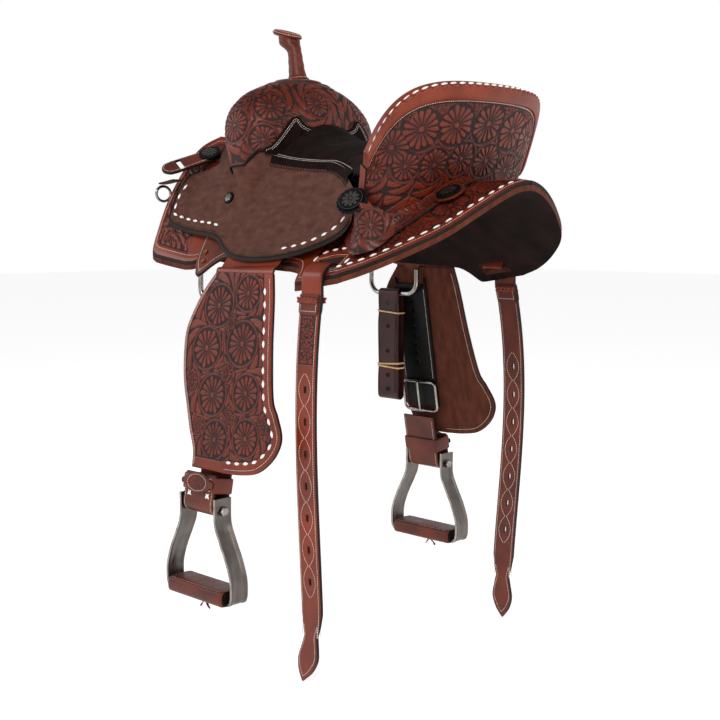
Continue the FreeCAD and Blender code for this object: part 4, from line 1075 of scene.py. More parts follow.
def swell():
    """The fork's cover: tooled leather with a bound hem, over a roughout band below it."""
    theta = swell_angles(1.8)
    hem = swell_hem(theta)
    near = [(0, 165, 27), (36, 140, 24), (40, 196, 26), (84, 205, 24), (2, 216, 23), (322, 128, 25),
            (322, 184, 27), (276, 205, 26), (270, 160, 18), (225, 185, 27), (140, 150, 24),
            (180, 165, 27), (180, 216, 23), (218, 130, 24), (133, 200, 26), (62, 168, 15), (118, 168, 15)]
    flowers = plant(lambda a, b, lift=0.0: swell_face(np.radians(a), b, lift), near)

    def tooled(angles, height, points):
        relief = carve(points.reshape(-1, 3), flowers).reshape(height.shape)
        return bordered(relief, np.minimum(height - hem[None] - 4, SWELL_TOP - height))

    def plain(angles, height, points):
        return 1 + 0 * height

    build = Build("tooled", "edge", "fender_back", "black", "roughout")
    swell_shell(build, theta, hem, SWELL_TOP + 6 + 0 * hem, 100, 0.0, tooled, (0, 1, 2))
    swell_shell(build, theta, swell_bottom(theta), hem + 1.0, 8, 2.0, plain, (4, 1, 2))
    tube(build, swell_face(theta, hem + 1.0, 1.0), 1.9, 3, 8, closed=True)
    rim = swell_face(theta, SWELL_TOP + 5.6 + 0 * theta, 1.0) * (1, 1, 0)
    low, high = rim + (0, 0, 249.3), rim + (0, 0, 251.2)
    neck = HORN_BASE * (1, 1, 0)
    rings = [low, high, (high - neck) * (0.55, 0.55, 1) + neck, (low - neck) * (0.5, 0.5, 1) + neck]
    build.add(np.array(rings), grid_faces(4, len(theta), wrap=True), 0)
    item = build.make("swell_leather")
    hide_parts("swell_cover")
    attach(item, "saddle")


def horn_place(points):
    """Points about the horn's own axis, leaned forward and set on the swell."""
    x, y, z = np.asarray(points, float).T
    return coords(x * math.cos(HORN_LEAN) + z * math.sin(HORN_LEAN), y,
                  -x * math.sin(HORN_LEAN) + z * math.cos(HORN_LEAN)) + HORN_BASE


def horn():
    """A wrapped neck under a stitched oval cap."""
    angle = np.linspace(0, 2 * math.pi, 64, endpoint=False)
    heights = np.concatenate([np.linspace(-3, 8, 14), np.linspace(9, 76, 68)])
    rows = []
    for z in heights:
        flare = 7.0 * math.exp(-(max(0.0, z + 3) / 5.0))
        neck = 7.0 * smooth((z - 46) / 22)
        wrap = 0.25 * np.sin(z * 0.42 + angle)
        radius = 14.5 - 3.5 * z / 60 + flare + wrap + neck * (1 + 0.7 * np.cos(angle))
        rows.append(coords(radius * np.cos(angle) + 0.8 * neck, radius * np.sin(angle), 0 * angle + z
                           + 0.28 * neck * np.cos(angle)))
    outer = np.array(rows)
    inner = outer * (0.55, 0.55, 1)
    build = Build("smooth", "edge", "smooth", "thread", "roll")
    shell(build, horn_place(outer.reshape(-1, 3)).reshape(outer.shape),
          horn_place(inner.reshape(-1, 3)).reshape(inner.shape), wrap=True)
    turn = np.linspace(0, 2 * math.pi, 80)
    seam = horn_place(coords(18.6 * np.cos(turn), 18.6 * np.sin(turn), 0.8 + 0 * turn))
    stitches(build, seam, unit(seam - HORN_BASE + (0, 0, 6)), THREAD, 3)
    item = build.make("horn_wrapping")
    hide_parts("horn_wrap")
    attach(item, "saddle")
    horn_cap()


def horn_cap():
    """The stitched oval cap, tipped up at the front."""
    tilt = math.radians(17)
    centre = horn_place(np.array([[0.0, 0.0, 72.0]]))[0] + (16, 0, 2)
    angle = np.linspace(0, 2 * math.pi, 120, endpoint=False)

    def placed(points):
        x, y, z = np.asarray(points, float).reshape(-1, 3).T
        return coords(x * math.cos(tilt) - z * math.sin(tilt), y,
                      x * math.sin(tilt) + z * math.cos(tilt)) + centre

    def oval(half_long, half_wide, level):
        return coords(half_long * np.cos(angle), half_wide * np.sin(angle), 0 * angle + level)

    profile = [(0.0, 11.0), (0.3, 10.8), (0.6, 10.3), (0.84, 9.4), (0.93, 8.5), (0.975, 7.3),
               (1.0, 5.9), (1.0, 4.2), (0.975, 2.4), (0.93, 1.2), (0.82, 0.3), (0.4, 0.0), (0.0, 0.0)]
    profile = curve(profile, 0.06)
    rows = np.array([oval(28.5 * r, 21.5 * r, z) for r, z in profile])
    build = Build("roll", "edge", "thread", "black")
    build.add(placed(rows), grid_faces(len(rows), len(angle), wrap=True, flip=True), 0)
    for level, share in ((9.5, 0.84), (6.6, 1.005)):
        above = 20 if share < 1 else 0
        line = placed(oval(28.5 * share, 21.5 * share, level))
        out = placed(oval(30, 23, level + above)) - centre
        stitches(build, np.vstack([line, line[:1]]), unit(np.vstack([out, out[:1]])), THREAD, 2)
    edge = placed(oval(28.6, 21.6, 4.2))
    tube(build, edge, 0.7, 1, 6, closed=True)
    item = build.make("horn_cap_leather")
    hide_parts("horn_cap")
    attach(item, "saddle")


# ---------------------------------------------------------------- cantle


def cantle_back():
    """The carved leather on the cantle's rear, its turned ends and its housing."""
    reach = CANTLE_REACH * RIM_SCALE
    arc = np.linspace(-reach, reach, 120)
    foot = coords(arc, cantle_height(arc / RIM_SCALE) - 0.6)
    top = coords(arc, ROLL_WIDTH + 0.5 + 0 * arc)
    outline = outline_of([foot, [foot[-1], top[-1]], top[::-1], [top[0], foot[0]]])
    half = [(0, 58, 32), (66, 62, 32), (30, 116, 27), (88, 122, 26), (132, 60, 31), (150, 108, 22),
            (188, 58, 27), (226, 48, 19), (34, 30, 11), (100, 34, 11), (160, 30, 10)]
    spots = half + [(-a, b, r) for a, b, r in half if a]
    flowers = plant(cantle_face, spots)

    def relief(where, points):
        return bordered(carve(points, flowers), where[:, 1] - ROLL_WIDTH - 5)

    build = Build("tooled", "edge", "fender_back", "thread", "roll")
    panel(build, cantle_face, outline, 3, relief, spacing=1.55, bevel=0.4)
    row = coords(np.linspace(-reach + 4, reach - 4, 200), np.full(200, ROLL_WIDTH + 2.8))
    stitch_row(build, cantle_face, row, THREAD, 3, 0.3)
    cantle_ends(build)
    housing(build)
    item = build.make("cantle_back_leather")
    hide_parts("cantle_back")
    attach(item, "saddle")


def cantle_ends(build):
    """Leather turned round the cantle board's two ends."""
    for turn in (-1, 1):
        phi = np.full(24, turn * (CANTLE_REACH + 0.012))
        rise, forward = cantle_axes(phi)
        down = np.linspace(ROLL_WIDTH - 2, float(cantle_height(phi[:1])[0]) + 1.5, 24)
        side = rim_point(phi) - unit(rise) * down[:, None]
        rows = np.array([side + forward * depth for depth in (-1.5, 4, 9, 14, 18.5)])
        out = unit(np.cross(rise, forward)) * turn
        shell(build, rows + out[None] * 2.0, rows - out[None] * 0.4, slots=(4, 1, 4))


def housing(build):
    """The leather that turns out from the cantle's foot and lies over the rear skirts."""
    phi = np.linspace(-CANTLE_REACH, CANTLE_REACH, 330)
    top = cantle_face(phi * RIM_SCALE, cantle_height(phi) - 5, 0.8)
    out = coords(-np.cos(phi * 0.9), np.sin(phi * 0.9))
    reach = 36 - 15 * (phi / CANTLE_REACH) ** 2
    foot = top.copy()
    foot[:, :2] = base_point(phi)[:, :2] + out * reach[:, None]
    foot[:, 2] = back_height(foot[:, 0], np.abs(foot[:, 1])) + 9.4
    corner = top * 0.62 + foot * 0.38
    corner[:, 2] = foot[:, 2] + 0.18 * (top[:, 2] - foot[:, 2])
    share = np.linspace(0, 1, 34)[:, None, None]
    outer = (1 - share) ** 2 * top + 2 * share * (1 - share) * corner + share**2 * foot
    spots = np.linspace(8, 321, 11).astype(int)
    flowers = []
    for k, index in enumerate(spots):
        row = 17 if k % 2 else 20
        normal = unit(np.cross(outer[row, index + 1] - outer[row, index - 1],
                               outer[row + 1, index] - outer[row - 1, index]))
        along = unit(outer[row, index + 1] - outer[row, index - 1])
        flowers.append({"centre": outer[row, index], "radius": 17.0, "along": along,
                        "across": np.cross(normal, along), "petals": 14, "turn": 0.9 * k,
                        "spin": 1 if k % 2 else -1})
    relief = carve(outer.reshape(-1, 3), flowers).reshape(outer.shape[:2])
    steps = np.linalg.norm(np.diff(outer, axis=0), axis=-1)
    fall = np.concatenate([np.zeros((1, len(phi))), np.cumsum(steps, axis=0)])
    relief = bordered(relief, (fall[-1:] - fall) - 5)
    normal = unit(np.cross(np.gradient(outer, axis=0), np.gradient(outer, axis=1)))
    normal = normal * np.sign(normal[:, :, 2:])
    outer = outer + normal * ((relief - 1) * TOOLING_DEPTH + 1.2)[..., None]
    shell(build, outer, outer - normal * 3.0, relief=relief)


def cantle_foot(word, side):
    """Tooled leather from the cantle's end and the seat's side, flared down on to the skirt."""
    path = curve([(-150, 154.7), (-160, 161.9), (-170, 169.2), (-180, 177), (-190, 184.5), (-202, 187.5),
                  (-212, 184), (-219, 174), (-224, 160), (-228, 144)], 1.5)
    along = np.linspace(0, 1, len(path))
    low = back_height(path[:, 0], path[:, 1]) + 7.5
    rim_low = back_height(-190.0, 182.6) + np.interp(along, [0, 0.35, 0.55, 0.75, 1], [72, 76, 78, 72, 56])
    under = jockey_height(path[:, 0], path[:, 1]) - 1.5
    high = np.where(path[:, 0] > -174, np.minimum(rim_low, under), rim_low)
    share = np.linspace(0, 1, 44)[:, None]
    tangent = unit(np.gradient(path, axis=0))
    out = coords(tangent[:, 1], -tangent[:, 0])
    out = np.concatenate([out * np.sign(out[0, 1]), np.zeros((len(path), 1))], -1)
    flare = (11.0 * (1 - share) ** 3)[..., None]
    rows = np.zeros((44, len(path), 3))
    rows[..., :2] = path[None]
    rows[..., 2] = low[None] * (1 - share) + high[None] * share
    rows = rows + out[None] * flare
    flowers = []
    for k, (row, index) in enumerate(((20, len(path) // 3), (24, 2 * len(path) // 3))):
        flowers.append({"centre": rows[row, index], "radius": 21.0, "along": np.array([0.0, 0.0, 1.0]),
                        "across": np.append(tangent[index], 0.0), "petals": 14, "turn": 0.6 * k, "spin": 1})
    relief = carve(rows.reshape(-1, 3), flowers).reshape(rows.shape[:2])
    outer = rows + out[None] * ((relief - 1) * TOOLING_DEPTH)[..., None]
    build = Build("tooled", "edge", "fender_back")
    shell(build, outer, rows - out[None] * 3.6, relief=relief)
    item = build.make(f"cantle_foot_{word}", side)
    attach(item, "saddle")


def cantle_roll():
    """The rolled rim: a smooth band with a scalloped edge over a row of lacing."""
    count = 420
    phi = np.linspace(-CANTLE_REACH, CANTLE_REACH, count)
    rise, forward = cantle_axes(phi)
    up = unit(rise)
    rim = rim_point(phi)
    scallop = np.abs(np.sin(travelled(rim) * math.pi / LACE_PITCH)) ** 0.7
    # down from the rim, and forward through the cantle
    section = np.array([(-22, 1.5), (-21.6, -2.2), (-18, -3.8), (-12, -4.4), (-6, -4.4), (-2.2, -4.2),
                        (0.6, -3.4), (1.3, -2.0), (0.6, -0.2), (-0.6, 1.2), (-0.9, 4), (-0.6, 9),
                        (-0.8, 13.5), (-2.4, 16.6), (-6, 17.8), (-14, 18), (-20, 17), (-22, 14.5)])
    lip = np.array([0, 0, 0, 0, 0.1, 0.45, 1, 1, 0.8, 0.2, 0, 0, 0, 0, 0, 0, 0, 0])
    drop = section[None, :, 0] - lip[None] * (1 - scallop[:, None]) * 4.2
    points = rim[:, None] + up[:, None] * drop[..., None] + forward[:, None] * section[None, :, 1:2]
    build = Build("roll", "edge", "lace", "thread")
    build.add(points, grid_faces(count, len(section), wrap=True, flip=True), 0)
    size = len(section)
    ends = np.array([list(range(size)), list(range(count * size - 1, count * size - size - 1, -1))])
    build.faces += (ends + build.count - count * size).tolist()
    build.slots += [0, 0]
    lace = rim + up * 0.4 + forward * 2.0
    stitches(build, lace, unit(up * 0.8 + forward * 0.2), (LACE_PITCH, 11.0, 5.0, 2.0, *LACE[4:]), 2)
    front = rim - up * 6 + forward * 18.1
    stitches(build, front, forward, THREAD, 3)
    item = build.make("cantle_roll_leather")
    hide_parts("cantle_roll")
    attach(item, "saddle")


# ---------------------------------------------------------------- seat


def copy_of(node_names, name):
    """The meshes of some CAD nodes, joined in a new object."""
    points, faces = [], []
    for node in node_names:
        mesh = frame["nodes"][node].data
        start = len(points)
        points += [tuple(v.co) for v in mesh.vertices]
        faces += [[start + k for k in polygon.vertices] for polygon in mesh.polygons]
    mesh = bpy.data.meshes.new(name)
    mesh.from_pydata(points, [], faces)
    item = bpy.data.objects.new(name, mesh)
    bpy.context.scene.collection.objects.link(item)
    return item


def apply_modifier(item, modifier):
    """Apply one modifier to an object's mesh."""
    with bpy.context.temp_override(object=item, active_object=item):
        bpy.ops.object.modifier_apply(modifier=modifier.name)


def positions(item):
    """An object's points as rows of coordinates."""
    found = np.zeros(len(item.data.vertices) * 3)
    item.data.vertices.foreach_get("co", found)
    return found.reshape(-1, 3)


def seat_cushion():
    """The padded suede seat: the cover and its foam, puffed by a short cloth simulation."""
    item = copy_of(["seat_cover", "seat_pad"], "seat_cushion")
    remesh = item.modifiers.new("remesh", "REMESH")
    remesh.mode = "VOXEL"
    remesh.voxel_size = 0.0042
    apply_modifier(item, remesh)
    rest = positions(item)
    seat_low, seat_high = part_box("seat_cover")
    puff(item, rest, cap=0.006)
    softened = item.modifiers.new("soften", "SMOOTH")
    softened.factor = 0.6
    softened.iterations = 5
    apply_modifier(item, softened)
    finer = item.modifiers.new("finer", "SUBSURF")
    finer.levels = 1
    apply_modifier(item, finer)
    now = positions(item)
    now = np.clip(now, np.array(seat_low) - 0.006, np.array(seat_high) + 0.006)
    item.data.vertices.foreach_set("co", now.ravel())
    item.data.polygons.foreach_set("use_smooth", [True] * len(item.data.polygons))
    item.data.materials.clear()
    item.data.materials.append(MATERIALS["suede"])
    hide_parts("seat_cover", "seat_pad")
    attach(item, "saddle")


def puff(item, rest, cap):
    """Blow a closed cushion up against its own cloth, holding its rim, and cap how far it moves."""
    held = item.vertex_groups.new(name="held")
    side = np.abs(np.abs(rest[:, 1] / MM) - seat_edge(rest[:, 0] / MM))
    fixed = np.nonzero((side < 9) | (rest[:, 0] / MM > 88))[0]
    held.add(fixed.tolist(), 1.0, "REPLACE")
    cloth = item.modifiers.new("cloth", "CLOTH")
    cloth.settings.use_pressure = True
    cloth.settings.uniform_pressure_force = 4
    cloth.settings.vertex_group_mass = "held"
    cloth.settings.effector_weights.gravity = 0
    cloth.settings.quality = 4
    scene = bpy.context.scene
    for step in range(1, 21):
        scene.frame_set(step)
    apply_modifier(item, cloth)
    scene.frame_set(1)
    moved = positions(item) - rest
    length = np.linalg.norm(moved, axis=1, keepdims=True)
    moved *= np.minimum(1, cap / np.maximum(length, 1e-9))
    item.data.vertices.foreach_set("co", (rest + moved).ravel())


def seat_point(u, v, depth=0.0):
    """The seat's top: u from the fork to the cantle's rim, v across from -1 to 1."""
    side_x = 107 - 297 * u
    side_y = seat_edge(side_x)
    side_z = back_height(side_x, side_y) + SEAT_LIFT
    mid_x = 100 - 410 * u
    mid_z = (141 - 8 * smooth((-40 - mid_x) / 110) + 38 * (np.maximum(0, mid_x + 40) / 100) ** 2
             + 69 * (np.maximum(0, -150 - mid_x) / 160) ** 2)
    w = smooth((u - 0.35) / 0.65)
    phi = np.abs(v) * math.pi / 2
    dish = 1 - np.cos(phi)
    y = side_y * ((1 - w) * v + w * np.copysign(np.sin(phi), v))
    x = mid_x + (side_x - mid_x) * ((1 - w) * v * v + w * dish)
    z = mid_z + (side_z - mid_z) * ((1 - w) * v * v + w * dish**2.3)
    inward = unit(coords(-0.5 * w, -0.6 * w * v, -1 + 0 * u))
    return coords(x, y, z) + inward * depth


def seat_trim(word, side):
    """The seat's border: a pinked strip over the jockey, and two rows of thread inside it."""
    u = np.linspace(0.1, 0.8, 420)
    edge = seat_point(u, 1 + 0 * u)
    inner = seat_point(u, 0.93 + 0 * u)
    x = edge[:, 0]
    pink = 2.0 * np.abs(np.sin(travelled(edge) * math.pi / 6.5)) ** 0.6
    lie = coords(x, edge[:, 1] + 4.4 + pink, 0 * x)
    lie[:, 2] = jockey_height(x, np.maximum(lie[:, 1], seat_edge(x))) + 7.6
    middle = edge + (0, 2.2, 0.6)
    hem = coords(x, edge[:, 1] + 4.0, lie[:, 2] + 0.6)
    rows = np.array([inner + (0, 0, 0.6), (inner + edge) / 2 + (0, 0, 1.6), middle, hem, lie])
    under = rows - (0, 0.4, 2.4)
    build = Build("suede", "black", "black", "thread")
    shell(build, rows, under)
    for share in (0.16, 0.52):
        row = inner * share + edge * (1 - share) + (0, 0, 2.1)
        stitches(build, row, unit(np.array([0, 0.5, 1.0]) + 0 * row), THREAD, 3)
    item = build.make(f"seat_border_{word}", side, sharp=80)
    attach(item, "saddle")


def seat_tab():
    """The seat cover's front edge, drawn up in two peaks on the fork's rear face."""
    scale = 110.0

    def surface(a, b, lift=0.0):
        return swell_face(np.pi / 2 - a / scale, b, lift + 4.4)

    peaks = [(-100, 118), (-100, 127), (-87, 132), (-73, 145), (-59, 163), (-49, 177), (-40, 179),
             (-30, 168), (-19, 163), (0, 161)]
    upper = peaks + [(-a, b) for a, b in peaks[-2::-1]]
    outline = outline_of([[(-100, 118), (100, 118)], upper[::-1]])
    build = Build("suede", "black", "black", "thread")
    panel(build, surface, outline, 3.0, spacing=3, bevel=0.8)
    line = curve([(a, b) for a, b in upper], 1.5)
    for gap in (4.0, 6.8):
        stitch_row(build, surface, inset(line, outline, gap), THREAD, 3)
    item = build.make("seat_front_tab", sharp=70)
    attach(item, "saddle")


# ---------------------------------------------------------------- rigging


def rigging_plate(word, side):
    """The dropped rigging plate, sewn round its lower edge."""
    outline = outline_of(PLATE_OUTLINE)
    build = Build("smooth", "edge", "fender_back", "thread")
    panel(build, PLATE_TOP, outline, 5.5, spacing=4)
    stitch_row(build, PLATE_TOP, inset(outline[outline[:, 1] > 118], outline, 5), THREAD, 3)
    item = build.make(f"rigging_plate_leather_{word}", side)
    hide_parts(f"rigging_plate_{word}")
    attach(item, "saddle")


# ---------------------------------------------------------------- fenders


def fender(word, side):
    """The tooled fender, hung on its neck; its back is roughout."""
    outline = outline_of([[(68, 3), (-66, 3)], FENDER_REAR[::-1], FENDER_FOOT[::-1], FENDER_FRONT[::-1]])
    rear = curve(FENDER_REAR, 2.0)
    front = curve(FENDER_FRONT, 2.0)
    foot = curve(FENDER_FOOT, 2.0)
    flowers = plant(fender_face, [
        (50, 56, 31), (-16, 34, 26), (68, 124, 31), (-16, 112, 32), (40, 196, 30), (-38, 186, 27),
        (22, 264, 28), (-50, 254, 27), (14, 160, 15), (94, 180, 15), (16, 82, 12), (-88, 232, 13),
        (-6, 226, 12), (66, 246, 14)])

    def relief(spots, points):
        room = np.minimum(distance_to(spots, rear) - 20, distance_to(spots, front) - 7.5)
        room = np.minimum(room, distance_to(spots, foot) - 18)
        return bordered(carve(points, flowers), room)

    build = Build("tooled", "edge", "fender_back", "lace", "thread")
    panel(build, fender_face, outline, 5, relief, spacing=1.45)
    stitch_row(build, fender_face, inset(rear, outline, 17), (20.0, 11.5, 5.4, 1.5, *LACE[4:]), 3, 0.3)
    stitch_row(build, fender_face, inset(rear, outline, 6.5), THREAD, 4)
    for gap in (3.6, 6.0):
        stitch_row(build, fender_face, inset(front, outline, gap), THREAD, 4)
    stitch_row(build, fender_face, inset(rear, outline, 8), THREAD, 4, -5.5)
    item = build.make(f"fender_leather_{word}", side)
    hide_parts(f"fender_{word}")
    top = blend_point(fender_face, 27.0, 3.0, side)
    low = blend_point(fender_face, 27.0, 34.0, side)
    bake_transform(item)
    fender_top(word, side)


def fender_top(word, side):
    """The stirrup leather's upper end, out from under the jockey and over to the fender's bend."""
    rows = []
    for y in np.linspace(140, 201, 24):
        t = smooth((y - 140) / 60)
        a = np.linspace(-35 - 31 * t, 63 + 5 * t, 60)
        rows.append(NECK_TOP(FENDER_X + a, y + 0 * a))
    ends = rows[-1]
    a = ends[:, 0] - FENDER_X
    for share in np.linspace(0, 1, 14)[1:]:
        corner = fender_face(a, -6 + 0 * a, 0.5)
        down = fender_face(a, 3 + 0 * a)
        rows.append(ends * (1 - share) ** 2 + 2 * corner * share * (1 - share) + down * share**2)
    outer = np.array(rows)[:, ::-1]
    out = unit(np.cross(np.gradient(outer, axis=1), np.gradient(outer, axis=0)))
    build = Build("tooled", "edge", "fender_back")
    if out[-1, :, 1].mean() < 0:
        out = -out
    flowers = plant(NECK_TOP, [(0, 168, 24), (50, 172, 25)])
    flowers += plant(fender_face, [(-30, -10, 20), (14, -12, 22), (56, -10, 20)])
    carved = bordered(carve(outer.reshape(-1, 3), flowers).reshape(outer.shape[:2]),
                      np.minimum(outer[..., 0] - outer[..., :1, 0].min() - 8, 100.0))
    outer = outer + out * ((carved - 1) * TOOLING_DEPTH)[..., None]
    shell(build, outer, outer - out * 3.6, relief=carved)
    item = build.make(f"fender_top_{word}", side)
    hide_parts(f"fender_neck_{word}", f"stirrup_leather_upper_{word}")
    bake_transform(item)


# ---------------------------------------------------------------- stirrup leathers and stirrups

STRAP_ALONG = 37
STRAP_BACK = -8.75
BUCKLE_DOWN = 243
FOLD_MIDDLE = -8.8
FOLD_TOP = 318
FOLD_DROP = 364
FOLD_RADIUS = 16.5
HOBBLE_GAP = 0.4
HOBBLE_THICK = 3.0
HOBBLE_MIDDLE = 333
BOLT = np.array([62.0, 264.66, -432.37])


def strap_face(along, down, lift=0.0):
    """The stirrup strap's horse side; along runs rearwards from the strap's middle."""
    return fender_face(STRAP_ALONG - along, down, STRAP_BACK - FENDER_HALF - lift)


def stirrup_strap(word, side):
    """Two plies of black leather, holed and sewn along the edges."""
    build = Build("black", "edge", "black", "thread")
    holes = [outline_of([[(-3, d), (-2, d - 2), (2, d - 2), (3, d), (2, d + 2), (-2, d + 2), (-3, d)]], 0.8)
             for d in (66 + 16 * k for k in range(8))]
    wide = outline_of([[(-37, 262), (-37, 40), (-31, 34)], [(-31, 34), (31, 34)],
                       [(31, 34), (37, 40), (37, 262)], [(37, 262), (-37, 262)]])
    panel(build, strap_face, wide, 5.5, holes=holes, spacing=4, bevel=1.0)
    for across in (-33, 33):
        row = np.array([(across, 42.0), (across, 208.0)])
        stitch_row(build, strap_face, row, THREAD, 3)
    item = build.make(f"stirrup_strap_leather_{word}", side)
    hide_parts(f"stirrup_strap_{word}")
    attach(item, f"fender_{word}")


def rounded_ring(half_a, half_b, radius, count=10):
    """A rectangle with round corners, anticlockwise."""
    points = []
    for turn, (sa, sb) in enumerate(((1, 1), (-1, 1), (-1, -1), (1, -1))):
        angle = np.linspace(0, math.pi / 2, count) + turn * math.pi / 2
        points.append(coords(sa * (half_a - radius) + radius * np.cos(angle),
                             sb * (half_b - radius) + radius * np.sin(angle)))
    return np.vstack(points)


def roller_buckle(word, side):
    """A steel roller buckle and its separate tongue."""
    build = Build("steel", "polished")
    ring = rounded_ring(39.2, 27.4, 9)
    line = strap_face(ring[:, 0], BUCKLE_DOWN + ring[:, 1], 3.9)
    tube(build, line, 2.5, 0, 12, closed=True, up=(0, 1, 0.1))
    across = np.linspace(-29, 29, 30)
    turn = 3.5 - 0.35 * (np.abs(across) > 27.5)
    roller = strap_face(across, BUCKLE_DOWN + 27.4 + 0 * across, 3.9)
    tube(build, roller, turn, 1, 20, up=(0, 1, 0.1))
    item = build.make(f"roller_buckle_steel_{word}", side)
    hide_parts(f"roller_buckle_{word}")
    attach(item, f"fender_{word}")
    build = Build("steel", "polished")
    down = np.linspace(-27.4, 25.5, 30)
    lift = 8.6 + 0 * down
    width = np.interp(down, [-27.4, -20, 18, 25.5], [2.9, 2.4, 2.2, 1.4])
    line = strap_face(0 * down, BUCKLE_DOWN + down, lift)
    tube(build, line, width, 0, 10, up=(0, 1, 0.1), flat=0.75)
    item = build.make(f"buckle_tongue_steel_{word}", side)
    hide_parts(f"buckle_tongue_{word}")
    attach(item, f"buckle_tongue_{word}")


def fold_face(across, along, lift=0.0):
    """The fold's outside: up the outer leg, round the bolt and up the horse side; along grows downwards."""
    radius = FOLD_RADIUS + lift
    bend = math.pi * FOLD_RADIUS
    straight = FOLD_DROP - FOLD_TOP
    turned = np.clip((along - straight) / FOLD_RADIUS, 0, math.pi)
    beyond = np.maximum(0, along - straight - bend)
    before = np.minimum(along, straight)
    down = FOLD_TOP + before + radius * np.sin(turned) - beyond
    out = FOLD_MIDDLE + radius * np.cos(turned)
    return fender_face(STRAP_ALONG + across, down, out - FENDER_HALF)


def stirrup_fold(word, side):
    """The strap end folded round the bolt: smooth, sewn, with two laced crosses."""
    build = Build("smooth", "edge", "fender_back", "thread", "lace")
    total = (FOLD_DROP - FOLD_TOP) + math.pi * FOLD_RADIUS + (FOLD_DROP - 278)
    across = np.concatenate([[-36, -35.6], np.linspace(-34.5, 34.5, 30), [35.6, 36]])
    crown = np.interp(np.abs(across), [0, 34.5, 35.6, 36], [0, 0, -0.4, -1.0])
    along = np.arange(0, total, 1.5)
    outer = np.array([fold_face(across, s + 0 * across, crown) for s in along])
    inner = np.array([fold_face(across, s + 0 * across, -4.5 + 0 * across) for s in along])
    shell(build, outer[:, ::-1], inner[:, ::-1])
    for edge in (-32, 32):
        stitch_row(build, fold_face, np.array([(edge, 4.0), (edge, total - 6)]), THREAD, 3)
    for middle in (-22.0, 22.0):
        for turn in (-1, 1):
            centre = np.array([middle, 33.0])
            step = np.array([5.5, 5.5 * turn])
            stitch_row(build, fold_face, np.array([centre - step, centre + step]), LACE, 4, 0.3 + 0.3 * turn)
    item = build.make(f"stirrup_fold_leather_{word}", side)
    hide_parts(f"stirrup_fold_{word}")
    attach(item, f"fender_{word}")


def hobble_face(across, down, out):
    """A point of the hobble strap, out from the fold's middle."""
    return fender_face(STRAP_ALONG + across, down, FOLD_MIDDLE + out - FENDER_HALF)


def hobble_strap(word, side):
    """The narrow strap round the fold, with an oval plate in front."""
    build = Build("smooth", "edge", "fender_back", "thread", "silver", "steel")
    half_a = 36 + HOBBLE_GAP + HOBBLE_THICK
    half_b = FOLD_RADIUS + HOBBLE_GAP + HOBBLE_THICK
    ring = rounded_ring(half_a, half_b, 6, 8)
    hole = rounded_ring(half_a - HOBBLE_THICK, FOLD_RADIUS + HOBBLE_GAP, 3.2, 8)

    def front(a, b, lift=0.0):
        return hobble_face(a, b, half_b + 0.35 + lift)

    levels = np.array([321, 321.8, 324, 342, 344.2, 345.0])
    swell_out = np.array([-0.8, 0.0, 0.35, 0.35, 0.0, -0.8])
    centre = ring.mean(0)
    outer, inner = [], []
    for down, grow in zip(levels, swell_out):
        grown = ring + unit(ring - centre) * grow
        for loop, rings in ((grown, outer), (hole, inner)):
            level = down + 0 * loop[:, 0]
            rings.append(hobble_face(loop[:, 0], level, loop[:, 1]))
    shell(build, np.array(outer)[:, ::-1], np.array(inner)[:, ::-1], wrap=True)
    for down in (324.2, 341.8):
        row = coords(np.linspace(-half_a + 7, half_a - 7, 40), np.full(40, down))
        stitch_row(build, front, row, THREAD, 3)

    def plate(a, b, lift=0.0):
        return hobble_face(a, HOBBLE_MIDDLE + b, half_b + 2.9 + lift)

    half = [(0, 15), (12, 14.2), (23, 10.5), (31, 5.5), (38, 3.4)]
    right = half + [(a, -b) for a, b in half[::-1]]
    left = [(-a, -b) for a, b in half[1:]] + [(-a, b) for a, b in half[:0:-1]]
    outline = outline_of([right + left + [half[0]]])
    flowers = plant(plate, [(0, 0, 9.5)], petals=10)

    def relief(spots, points):
        room = 1 - (spots[:, 0] / 20) ** 2 - (spots[:, 1] / 11) ** 2
        return bordered(carve(points, flowers), room * 8)

    panel(build, plate, outline, 2.4, relief, spacing=1.4, bevel=0.6)
    turn = np.linspace(0, 2 * math.pi, 90)
    stitch_row(build, plate, coords(22.5 * np.cos(turn), 12.6 * np.sin(turn)), THREAD, 3)
    item = build.make(f"hobble_strap_leather_{word}", side)
    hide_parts(f"hobble_strap_{word}")
    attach(item, f"fender_{word}")


STIRRUP_HALF = [(0.545, 20), (0.55, -18), (0.67, -42), (0.86, -72), (0.985, -100), (1.0, -122),
                (0.985, -132), (0.94, -139), (0.86, -142)]
STIRRUP_REACH = 82.5


